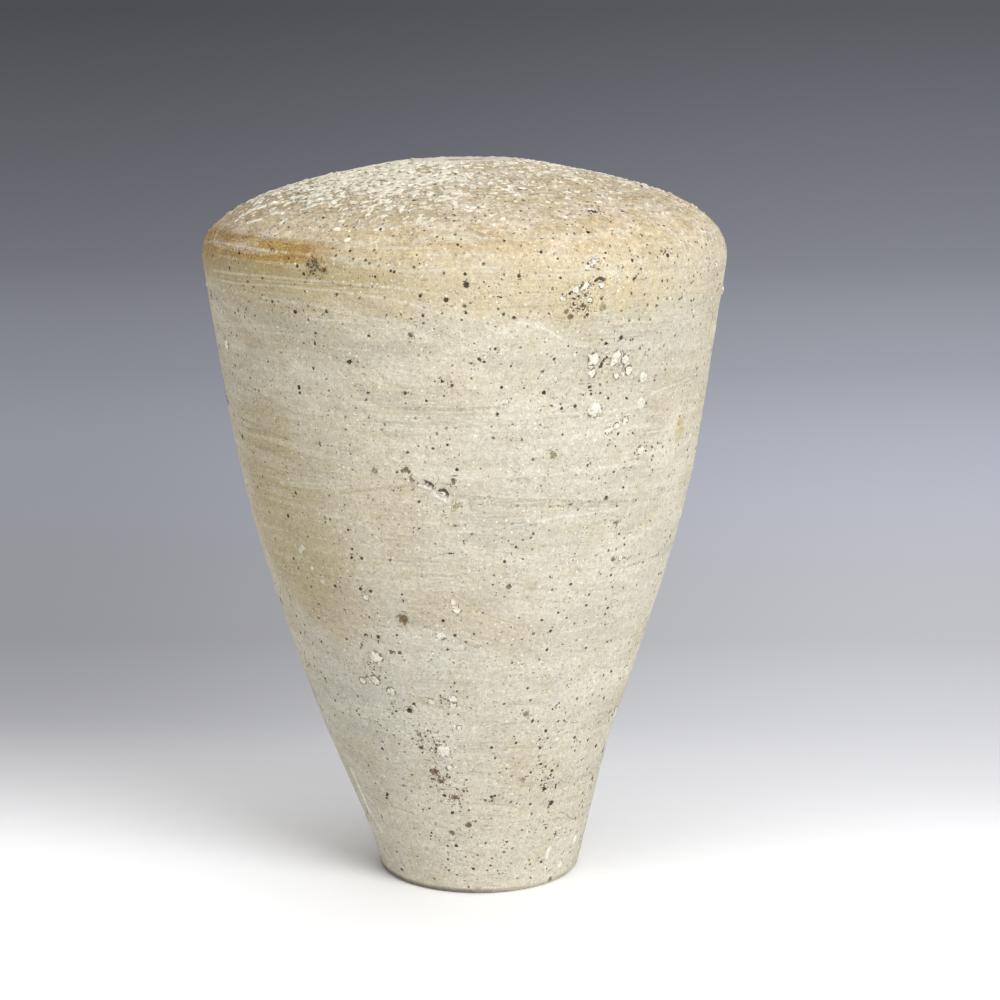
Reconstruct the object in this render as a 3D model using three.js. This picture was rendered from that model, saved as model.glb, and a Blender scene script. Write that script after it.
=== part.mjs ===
// A stoneware storage jar for mercury. Two tapering wall sections, a shoulder dome and a low mouth ring are thrown
// on the wheel, luted edge to edge with slip and fired as one thick-walled vessel. A tapered wooden plug closes the
// small mouth, and a ring of lime putty seals the joint between plug and lip.
//
// Millimetres, +Z up, +X to the right of the front view. The origin is the middle of the foot, on the surface that
// the jar stands on.
import * as THREE from "three";

// Heights of the thrown sections, stacked from the foot up
const LOWER_HEIGHT = 146;
const UPPER_HEIGHT = 66;
const DOME_RISE = 30;
const RING_RISE = 3.2;

// Outer radii of the vessel
const FOOT_RADIUS = 34.6;
const SEAM_RADIUS = 77.5;
const SHOULDER_RADIUS = 87.4;
const RING_RADIUS = 29.5;

// Growth of the wall's radius for each millimetre of height
const FOOT_FLARE = 0.25;
const SEAM_FLARE = 0.175;
const SHOULDER_FLARE = 0.15;

// Thicknesses of the clay
const WALL = 11;
const FLOOR = 24;
const CROWN_THICKNESS = 13;
const RING_EDGE = 0.8;

// Roundings: the foot's lower edge, the hollow's lower corner, and how far the shoulder's turn reaches up from the
// wall and out from the ring, outside and inside
const FOOT_EDGE = 1.2;
const FLOOR_CORNER = 9;
const SHOULDER_TURN = 20;
const CROWN_SPREAD = 16;
const HOLLOW_TURN = 9;
const HOLLOW_SPREAD = 34;

// The mouth's radius at the lip, and how much it narrows for each millimetre of depth
const MOUTH_RADIUS = 11;
const MOUTH_TAPER = 0.1;

// The plug, its putty, and the gap that keeps each piece clear of the one that it seats in
const PLUG_LENGTH = 9;
const PLUG_DROP = 0.5;
const PLUG_EDGE = 1.2;
const PUTTY_WIDTH = 4.2;
const PUTTY_DEPTH = 1.8;
const PUTTY_EDGE = 0.3;
const SEAT_GAP = 0.3;

// The foot was cut off-centre from the body, which fades out up the wall, and the axis leans a little
const FOOT_OFFSET = 3.2;
const FOOT_FADE = 60;
const LEAN_SLOPE = 0.0056;

// Steps round the axis and along the curves of a profile
const AROUND = 72;
const WALL_STEPS = 9;
const TURN_STEPS = 10;
const EDGE_STEPS = 3;

// Levels worked out from the sections
const SHOULDER_LEVEL = LOWER_HEIGHT + UPPER_HEIGHT;
const CROWN_LEVEL = SHOULDER_LEVEL + DOME_RISE;
const LIP_LEVEL = CROWN_LEVEL + RING_RISE;
const CEILING_LEVEL = CROWN_LEVEL - CROWN_THICKNESS;

const point = (radius, height) => new THREE.Vector2(radius, height);

// The radius of a wall section at a height above its foot: a cubic with a radius and a flare at each end.
function sectionRadius(height, tall, start, startFlare, end, endFlare) {
  const s = height / tall;
  const rise = s * s * (3 - 2 * s);
  const leave = s * (1 - s) * (1 - s) * tall * startFlare;
  const arrive = s * s * (s - 1) * tall * endFlare;
  return start + (end - start) * rise + leave + arrive;
}

function wallRadius(level) {
  if (level <= LOWER_HEIGHT) {
    return sectionRadius(level, LOWER_HEIGHT, FOOT_RADIUS, FOOT_FLARE, SEAM_RADIUS, SEAM_FLARE);
  }
  const above = level - LOWER_HEIGHT;
  return sectionRadius(above, UPPER_HEIGHT, SEAM_RADIUS, SEAM_FLARE, SHOULDER_RADIUS, SHOULDER_FLARE);
}

// Points of the wall between two levels, set in from the outer face.
function wallPoints(from, to, inset) {
  const points = [];
  for (let step = 0; step <= WALL_STEPS; step++) {
    const level = THREE.MathUtils.lerp(from, to, step / WALL_STEPS);
    points.push(point(wallRadius(level) - inset, level));
  }
  return points;
}

// A quarter turn that starts along one tangent and ends along the other.
function rounded(start, corner, end, steps) {
  return new THREE.QuadraticBezierCurve(start, corner, end).getPoints(steps);
}

const mouthRadius = (level) => MOUTH_RADIUS - (LIP_LEVEL - level) * MOUTH_TAPER;

// How far the vessel's axis lies from the foot's middle, along X.
function axisDrift(level) {
  return -FOOT_OFFSET * THREE.MathUtils.smoothstep(level, 0, FOOT_FADE) - LEAN_SLOPE * level;
}

// Spins a profile about the vessel's axis, stands it up along +Z and lets it follow the axis.
function thrown(profile) {
  const geometry = new THREE.LatheGeometry(profile, AROUND);
  geometry.rotateX(Math.PI / 2);
  const places = geometry.getAttribute("position");
  for (let i = 0; i < places.count; i++) {
    places.setX(i, places.getX(i) + axisDrift(places.getZ(i)));
  }
  geometry.computeVertexNormals();
  return geometry;
}

const closed = (points) => [...points, points[0].clone()];

// The foot and the lower wall, thrown in one with a thick floor.
function lowerBody() {
  const footTop = point(wallRadius(FOOT_EDGE), FOOT_EDGE);
  const footEdge = rounded(point(FOOT_RADIUS - FOOT_EDGE, 0), point(FOOT_RADIUS, 0), footTop, EDGE_STEPS);
  const cornerLevel = FLOOR + FLOOR_CORNER;
  const cornerRadius = wallRadius(cornerLevel) - WALL;
  const floorRadius = wallRadius(FLOOR) - WALL;
  const floorCorner = rounded(
    point(cornerRadius, cornerLevel),
    point(floorRadius, FLOOR),
    point(floorRadius - FLOOR_CORNER, FLOOR),
    EDGE_STEPS,
  );
  return thrown([
    point(0, 0),
    ...footEdge,
    ...wallPoints(FOOT_EDGE, LOWER_HEIGHT, 0).slice(1),
    ...wallPoints(LOWER_HEIGHT, cornerLevel, WALL).slice(0, -1),
    ...floorCorner,
    point(0, FLOOR),
  ]);
}

// The upper wall, a plain flaring ring between the two luted seams.
function upperBody() {
  return thrown(
    closed([
      ...wallPoints(LOWER_HEIGHT, SHOULDER_LEVEL, 0),
      ...wallPoints(SHOULDER_LEVEL, LOWER_HEIGHT, WALL),
    ]),
  );
}

// The domed cap, luted on the wall at the widest circle, with a flat crown for the mouth ring.
function shoulderDome() {
  const outside = new THREE.CubicBezierCurve(
    point(SHOULDER_RADIUS, SHOULDER_LEVEL),
    point(SHOULDER_RADIUS + SHOULDER_FLARE * SHOULDER_TURN, SHOULDER_LEVEL + SHOULDER_TURN),
    point(RING_RADIUS + CROWN_SPREAD, CROWN_LEVEL),
    point(RING_RADIUS, CROWN_LEVEL),
  );
  const hollowRadius = SHOULDER_RADIUS - WALL;
  const underMouth = mouthRadius(CEILING_LEVEL);
  const underside = new THREE.CubicBezierCurve(
    point(underMouth, CEILING_LEVEL),
    point(underMouth + HOLLOW_SPREAD, CEILING_LEVEL),
    point(hollowRadius + SHOULDER_FLARE * HOLLOW_TURN, SHOULDER_LEVEL + HOLLOW_TURN),
    point(hollowRadius, SHOULDER_LEVEL),
  );
  return thrown(
    closed([
      ...outside.getPoints(TURN_STEPS),
      point(mouthRadius(CROWN_LEVEL), CROWN_LEVEL),
      ...underside.getPoints(TURN_STEPS),
    ]),
  );
}

// The radius of the lip's countersink, which widens from the bore up to the ring's top.
function bevelRadius(level) {
  const foot = LIP_LEVEL - PUTTY_DEPTH;
  return THREE.MathUtils.mapLinear(level, foot, LIP_LEVEL, mouthRadius(foot), MOUTH_RADIUS + PUTTY_WIDTH);
}

// The low ring round the mouth, thin at its edge, with a countersunk lip that holds the putty.
function mouthRing() {
  const lipRadius = bevelRadius(LIP_LEVEL);
  const bevelFoot = LIP_LEVEL - PUTTY_DEPTH;
  const top = rounded(
    point(RING_RADIUS, CROWN_LEVEL + RING_EDGE),
    point((RING_RADIUS + lipRadius) / 2, LIP_LEVEL),
    point(lipRadius, LIP_LEVEL),
    EDGE_STEPS * 2,
  );
  return thrown(
    closed([
      point(RING_RADIUS, CROWN_LEVEL),
      ...top,
      point(bevelRadius(bevelFoot), bevelFoot),
      point(mouthRadius(CROWN_LEVEL), CROWN_LEVEL),
    ]),
  );
}

const plugRadius = (level) => mouthRadius(level) - SEAT_GAP;

// The wooden plug, tapered like the mouth, with its lower edge eased so that it starts into the bore.
function plug() {
  const top = LIP_LEVEL - PLUG_DROP;
  const bottom = top - PLUG_LENGTH;
  return thrown([
    point(0, bottom),
    point(plugRadius(bottom) - PLUG_EDGE, bottom),
    point(plugRadius(bottom + PLUG_EDGE), bottom + PLUG_EDGE),
    point(plugRadius(top), top),
    point(0, top),
  ]);
}

// The putty pressed into the countersink round the plug and struck off level with the lip.
function plugPutty() {
  const foot = LIP_LEVEL - PUTTY_DEPTH + 2 * SEAT_GAP;
  const edge = LIP_LEVEL - PUTTY_EDGE;
  const inside = plugRadius(LIP_LEVEL) + SEAT_GAP;
  const outside = bevelRadius(edge - SEAT_GAP);
  return thrown(
    closed([
      point(inside, foot),
      point(bevelRadius(foot - SEAT_GAP), foot),
      point(outside, edge),
      point(outside, LIP_LEVEL),
      point(inside, LIP_LEVEL),
    ]),
  );
}

const stoneware = new THREE.MeshStandardMaterial({ color: 0xcdc5af, roughness: 0.9, metalness: 0 });
const ashStoneware = new THREE.MeshStandardMaterial({ color: 0xd2c2a4, roughness: 0.85, metalness: 0 });
const plugWood = new THREE.MeshStandardMaterial({ color: 0x8a7358, roughness: 0.8, metalness: 0 });
const limePutty = new THREE.MeshStandardMaterial({ color: 0xe2dccb, roughness: 0.95, metalness: 0 });

function piece(name, geometry, material) {
  const mesh = new THREE.Mesh(geometry, material);
  mesh.name = name;
  return mesh;
}

const vessel = new THREE.Group();
vessel.add(
  piece("lower_body", lowerBody(), stoneware),
  piece("upper_body", upperBody(), stoneware),
  piece("shoulder_dome", shoulderDome(), ashStoneware),
  piece("mouth_ring", mouthRing(), ashStoneware),
);

const closure = new THREE.Group();
closure.add(
  piece("mouth_plug", plug(), plugWood),
  piece("plug_putty", plugPutty(), limePutty),
);

const jar = new THREE.Group();
jar.add(vessel, closure);

export default jar;
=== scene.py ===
"""The looks of a stoneware jar for storing mercury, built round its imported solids.

Each section of the jar is a profile carried round the axis by one node tree, which also leans it, roughens
it and notes the marks in its clay. Metres, in the frame of the solids: +Z up, +X to the camera's right, the
origin under the middle of the foot. Materials and marks are written in millimetres.
"""

import math
import random
from types import SimpleNamespace

import bpy
import numpy as np
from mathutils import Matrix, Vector


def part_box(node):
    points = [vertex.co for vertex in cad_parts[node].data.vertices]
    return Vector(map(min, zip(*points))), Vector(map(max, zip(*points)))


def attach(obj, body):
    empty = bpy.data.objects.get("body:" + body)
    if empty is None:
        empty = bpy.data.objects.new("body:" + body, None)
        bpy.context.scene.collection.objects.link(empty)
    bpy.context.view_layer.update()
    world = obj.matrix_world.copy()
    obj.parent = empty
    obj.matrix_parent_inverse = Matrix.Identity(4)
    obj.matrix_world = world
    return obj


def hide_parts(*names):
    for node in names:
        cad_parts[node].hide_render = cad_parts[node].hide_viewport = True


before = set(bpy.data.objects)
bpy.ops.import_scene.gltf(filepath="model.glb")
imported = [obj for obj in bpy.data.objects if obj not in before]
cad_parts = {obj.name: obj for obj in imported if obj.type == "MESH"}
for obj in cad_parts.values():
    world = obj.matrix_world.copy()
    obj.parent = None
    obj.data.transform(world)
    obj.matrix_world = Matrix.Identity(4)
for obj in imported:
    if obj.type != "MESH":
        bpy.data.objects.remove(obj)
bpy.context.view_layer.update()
MM = 0.001

# The camera that the jar's outline gives
CAMERA_PLACE = Vector((7.33, -768.0, 280.0)) * MM
CAMERA_PITCH = math.radians(11.1)
CAMERA_LENS = 82.08
CAMERA_SENSOR = 36.0
FRAME_PIXELS = 1000


def half_width(node):
    low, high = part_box(node)
    return (high.y - low.y) / 2


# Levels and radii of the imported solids
SEAM_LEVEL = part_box("lower_body")[1].z
SHOULDER_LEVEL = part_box("upper_body")[1].z
CROWN_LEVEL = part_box("shoulder_dome")[1].z
LIP_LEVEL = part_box("mouth_ring")[1].z
PLUG_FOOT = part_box("mouth_plug")[0].z
PLUG_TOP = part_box("mouth_plug")[1].z
PUTTY_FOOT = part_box("plug_putty")[0].z
SEAM_RADIUS = half_width("lower_body")
SHOULDER_RADIUS = half_width("upper_body")
RING_RADIUS = half_width("mouth_ring")
PLUG_RADIUS = half_width("mouth_plug")
PUTTY_RADIUS = half_width("plug_putty")

# The rest of the thrown form, as the solids have it
FOOT_RADIUS = 34.6 * MM
FOOT_EDGE = 1.2 * MM
FOOT_FLARE = 0.25
SEAM_FLARE = 0.175
SHOULDER_FLARE = 0.15
SHOULDER_TURN = 20 * MM
WALL = 11 * MM
FLOOR = 24 * MM
FLOOR_CORNER = 9 * MM
CROWN_THICKNESS = 13 * MM
HOLLOW_TURN = 9 * MM
HOLLOW_SPREAD = 34 * MM
MOUTH_RADIUS = 11 * MM
MOUTH_TAPER = 0.1
PUTTY_WIDTH = 4.2 * MM
PUTTY_DEPTH = 1.8 * MM
PLUG_EDGE = 1.2 * MM
FOOT_OFFSET = 3.2 * MM
FOOT_FADE = 60 * MM
LEAN_SLOPE = 0.0056

# Slip smoothed up to the mouth ring hides its joint, and the crown was set on a little askew
LUTING_RISE = 1.2 * MM
LUTING_SLOPE = 0.2
CROWN_SPREAD = 22 * MM
CROWN_TILT = 0.008

# The lip: its slope, and the width over which the relief fades towards it, down to a least share
LIP_SLOPE = 0.1
LIP_FADE = 4 * MM
LIP_RELIEF = 0.25

# Small insets of the profiles: the dome's bed under the mouth ring, the plug's rim and the floor's corner
BED_INSET = 0.5 * MM
PLUG_RIM = 0.2 * MM
FLOOR_SPREAD = 1.3 * FLOOR_CORNER

# The putty as it was thumbed down: its gap to the plug, its flat foot, the height of its crest, the width
# and roundness of its smear, and how far its seat and its edge lie below the lip
PUTTY_GAP = 0.06 * MM
PUTTY_FLAT = 0.8 * MM
PUTTY_CREST = 0.55 * MM
PUTTY_SMEAR = 2.8 * MM
PUTTY_ROUND = 2 * MM
PUTTY_SEAT = 0.25 * MM
PUTTY_EDGE = 0.6 * MM

# Columns of faces round each section, and the length of a face up the wall
LOWER_COLUMNS = 540
UPPER_COLUMNS = 780
DOME_COLUMNS = 780
RING_COLUMNS = 420
CLOSURE_COLUMNS = 180
LOWER_STEP = 1.0 * MM
UPPER_STEP = 0.75 * MM
DOME_STEP = 0.78 * MM
RING_STEP = 0.45 * MM
PLUG_STEP = 0.5 * MM
PUTTY_STEP = 0.25 * MM
INNER_STEP = 9 * MM

# Points of a section nearer than this are one, and an edge bent more than this is sharp
WELD = 1e-6
SHARP_BEND = math.radians(55)

# How far the throwing rings, the wobble, the grit and the crust of ash stand out on each kind of piece
RING_DEPTH = 0.5 * MM
CLAY_WOBBLE = 1.0 * MM
CLAY_GRIT = 0.18 * MM
ASH_CRUST = 0.5 * MM
WOOD_WOBBLE = 0.3 * MM
WOOD_GRIT = 0.12 * MM
PUTTY_WOBBLE = 1.2 * MM
PUTTY_GRIT = 1.1 * MM

# Flakes of ash: how many on a square metre where they lie thickest, half the length of the largest, and the
# notches along a metre of their edges
FLAKE_DENSITY = 0.17 / MM**2
FLAKE_SIZE = 2.0 * MM
FLAKE_NOTCHES = 900.0

# The stretch of a camera ray in which the jar lies, the step along it, and the halvings of the last step
RAY_NEAR = 0.6
RAY_FAR = 1.0
RAY_STEP = 0.5 * MM
RAY_HALVINGS = 12

# The lowest levels at which marks and grains are scattered
LOWEST_MARK = 4 * MM
LOWEST_GRAIN = 2 * MM


class Wiring:
    """Adds nodes to a tree. An input given as a socket is linked, and any other input is set as a value."""

    def __init__(self, tree):
        self.tree = tree

    def add(self, kind, inputs=None, **settings):
        node = self.tree.nodes.new(kind)
        for key, value in settings.items():
            setattr(node, key, value)
        for key, value in (inputs or {}).items():
            self.feed(node.inputs[key], value)
        return node

    def feed(self, socket, value):
        if isinstance(value, bpy.types.NodeSocket):
            self.tree.links.new(value, socket)
        else:
            socket.default_value = value

    def math(self, operation, a, b=0.0, c=0.0):
        return self.add("ShaderNodeMath", {0: a, 1: b, 2: c}, operation=operation).outputs[0]

    def times(self, *factors):
        product = factors[0]
        for factor in factors[1:]:
            product = self.math("MULTIPLY", product, factor)
        return product

    def plus(self, *terms):
        total = terms[0]
        for term in terms[1:]:
            total = self.math("ADD", total, term)
        return total

    def vector(self, operation, a, b=(0.0, 0.0, 0.0)):
        return self.add("ShaderNodeVectorMath", {0: a, 1: b}, operation=operation).outputs["Vector"]

    def measure(self, operation, a, b=(0.0, 0.0, 0.0)):
        return self.add("ShaderNodeVectorMath", {0: a, 1: b}, operation=operation).outputs["Value"]

    def scaled(self, vector, factor):
        inputs = {"Vector": vector, "Scale": factor}
        return self.add("ShaderNodeVectorMath", inputs, operation="SCALE").outputs["Vector"]

    def stretched(self, place, level, upright):
        return self.vector("MULTIPLY", place, (level, level, upright))

    def facing(self, place, side):
        """How squarely a place on the jar faces a side, from -1 to 1."""
        outward = self.vector("NORMALIZE", self.stretched(place, 1.0, 0.0))
        return self.measure("DOT_PRODUCT", outward, side)

    def split(self, vector):
        return self.add("ShaderNodeSeparateXYZ", {0: vector}).outputs

    def join(self, x, y, z):
        return self.add("ShaderNodeCombineXYZ", {0: x, 1: y, 2: z}).outputs[0]

    def ramp(self, value, low, high, bottom=0.0, top=1.0):
        inputs = {"Value": value, "From Min": low, "From Max": high, "To Min": bottom, "To Max": top}
        return self.add("ShaderNodeMapRange", inputs, interpolation_type="SMOOTHSTEP").outputs[0]

    def band(self, value, start, full, fade, end):
        return self.times(self.ramp(value, start, full), self.ramp(value, fade, end, 1.0, 0.0))

    def noise(self, place, size, detail=2.0, roughness=0.5, distortion=0.0):
        inputs = {
            "Vector": place,
            "Scale": 1.0 / size,
            "Detail": detail,
            "Roughness": roughness,
            "Distortion": distortion,
        }
        return self.add("ShaderNodeTexNoise", inputs).outputs[0]

    def centred(self, place, size, detail=2.0, roughness=0.5):
        return self.plus(self.noise(place, size, detail, roughness), -0.5)

    def grains(self, place, size, least, most, share):
        """Round grains: one in each cell, in a share of the cells, with a radius between two bounds."""
        node = self.add("ShaderNodeTexVoronoi", {"Vector": place, "Scale": 1.0 / size}, feature="F1")
        chance = self.add("ShaderNodeSeparateColor", {0: node.outputs["Color"]}).outputs
        radius = self.ramp(chance[0], 0.0, 1.0, least, most)
        edge = self.math("SUBTRACT", self.times(node.outputs["Distance"], size), radius)
        kept = self.math("LESS_THAN", chance[1], share)
        return self.times(self.ramp(edge, -0.5 * least, 0.3 * least, 1.0, 0.0), kept)

    def blend(self, share, under, over, kind="MIX"):
        node = self.add("ShaderNodeMix", data_type="RGBA", blend_type=kind)
        self.feed(node.inputs[0], share)
        self.feed(node.inputs[6], under)
        self.feed(node.inputs[7], over)
        return node.outputs[2]

    def attribute(self, name):
        return self.add("ShaderNodeAttribute", attribute_name=name).outputs

    def bump(self, strength, *heights):
        inputs = {"Strength": strength, "Distance": MM, "Height": self.plus(*heights)}
        return self.add("ShaderNodeBump", inputs).outputs[0]

    def grey(self, value):
        return self.add("ShaderNodeCombineColor", {0: value, 1: value, 2: value}).outputs[0]


def colour(red, green, blue):
    return (red, green, blue, 1.0)


def in_scene(name, data):
    added = bpy.data.objects.new(name, data)
    bpy.context.scene.collection.objects.link(added)
    return added


def carry(mesh, name, kind, values):
    """Gives each point of a mesh a value under a name."""
    part = {"FLOAT": "value", "FLOAT_VECTOR": "vector", "FLOAT_COLOR": "color"}[kind]
    mesh.attributes.new(name, kind, "POINT").data.foreach_set(part, values)


def camera():
    data = bpy.data.cameras.new("camera")
    data.lens = CAMERA_LENS
    data.sensor_width = CAMERA_SENSOR
    data.clip_start = 0.01
    data.clip_end = 50
    seen = in_scene("camera", data)
    seen.location = CAMERA_PLACE
    seen.rotation_euler = (math.pi / 2 - CAMERA_PITCH, 0, 0)
    bpy.context.scene.camera = seen


# The thrown form as formulas


def smooth(share):
    share = np.clip(share, 0, 1)
    return share * share * (3 - 2 * share)


def section_radius(share, tall, start, start_flare, end, end_flare):
    leave = share * (1 - share) ** 2 * tall * start_flare
    arrive = share * share * (share - 1) * tall * end_flare
    return start + (end - start) * share * share * (3 - 2 * share) + leave + arrive


def wall_radius(level):
    level = np.asarray(level, float)
    tall = SHOULDER_LEVEL - SEAM_LEVEL
    low = section_radius(level / SEAM_LEVEL, SEAM_LEVEL, FOOT_RADIUS, FOOT_FLARE, SEAM_RADIUS, SEAM_FLARE)
    above = (level - SEAM_LEVEL) / tall
    high = section_radius(above, tall, SEAM_RADIUS, SEAM_FLARE, SHOULDER_RADIUS, SHOULDER_FLARE)
    return np.where(level <= SEAM_LEVEL, low, high)


def bezier(start, leave, arrive, end, steps):
    t = np.linspace(0, 1, steps + 1)[:, None]
    start, leave, arrive, end = (np.array(p, float) for p in (start, leave, arrive, end))
    return (1 - t) ** 3 * start + 3 * t * (1 - t) ** 2 * leave + 3 * t * t * (1 - t) * arrive + t**3 * end


def wall_run(start, end, step, inset=0.0):
    levels = np.linspace(start, end, max(2, round(abs(end - start) / step) + 1))
    return np.column_stack([wall_radius(levels) - inset, levels])


def dome_outside(steps):
    top = CROWN_LEVEL + LUTING_RISE
    return bezier(
        (SHOULDER_RADIUS, SHOULDER_LEVEL),
        (SHOULDER_RADIUS + SHOULDER_FLARE * SHOULDER_TURN, SHOULDER_LEVEL + SHOULDER_TURN),
        (RING_RADIUS + CROWN_SPREAD, top - LUTING_SLOPE * CROWN_SPREAD),
        (RING_RADIUS, top),
        steps,
    )


def evenly(points, step):
    """The same line with its points one step apart."""
    gone = np.concatenate([[0], np.cumsum(np.hypot(*np.diff(points, axis=0).T))])
    along = np.linspace(0, gone[-1], max(2, round(gone[-1] / step) + 1))
    return np.column_stack([np.interp(along, gone, points[:, i]) for i in (0, 1)])


def mouth_radius(level):
    return MOUTH_RADIUS - (LIP_LEVEL - level) * MOUTH_TAPER


def axis_drift(level):
    return float(-FOOT_OFFSET * smooth(level / FOOT_FADE) - LEAN_SLOPE * level)


def crown_lift(x, level):
    return float(CROWN_TILT * x * smooth((level - SHOULDER_LEVEL) / (CROWN_LEVEL - SHOULDER_LEVEL)))


OUTLINE = np.vstack([wall_run(0, SHOULDER_LEVEL, MM), dome_outside(200)[1:]])


def outer_radius(level):
    return float(np.interp(level, OUTLINE[:, 1], OUTLINE[:, 0]))


def on_jar(angle, level):
    """The point of the outer face at an angle from the camera's right and a level."""
    radius = outer_radius(level)
    x = radius * math.cos(angle) + axis_drift(level)
    return Vector((x, radius * math.sin(angle), level + crown_lift(x, level)))


def straightened(point):
    """A point's angle, radius and level on the jar as it was before it leaned."""
    level = point.z - crown_lift(point.x, point.z)
    x = point.x - axis_drift(level)
    return math.atan2(point.y, x), math.hypot(x, point.y), level


def outside(point):
    _, radius, level = straightened(point)
    return radius > outer_radius(level)


def seen_at(column, row):
    """The point of the outer face that the camera sees at a pixel, by steps along the ray, then halving."""
    focal = CAMERA_LENS / CAMERA_SENSOR * FRAME_PIXELS
    right = (column - FRAME_PIXELS / 2) / focal
    up = (FRAME_PIXELS / 2 - row) / focal
    sine = math.sin(CAMERA_PITCH)
    cosine = math.cos(CAMERA_PITCH)
    ray = Vector((right, cosine + up * sine, up * cosine - sine))
    far = RAY_NEAR
    while outside(CAMERA_PLACE + ray * far):
        far += RAY_STEP
        if far > RAY_FAR:
            raise ValueError(f"the camera sees no jar at {column}, {row}")
    near = far - RAY_STEP
    for _ in range(RAY_HALVINGS):
        middle = (near + far) / 2
        if outside(CAMERA_PLACE + ray * middle):
            near = middle
        else:
            far = middle
    return CAMERA_PLACE + ray * far


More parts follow.
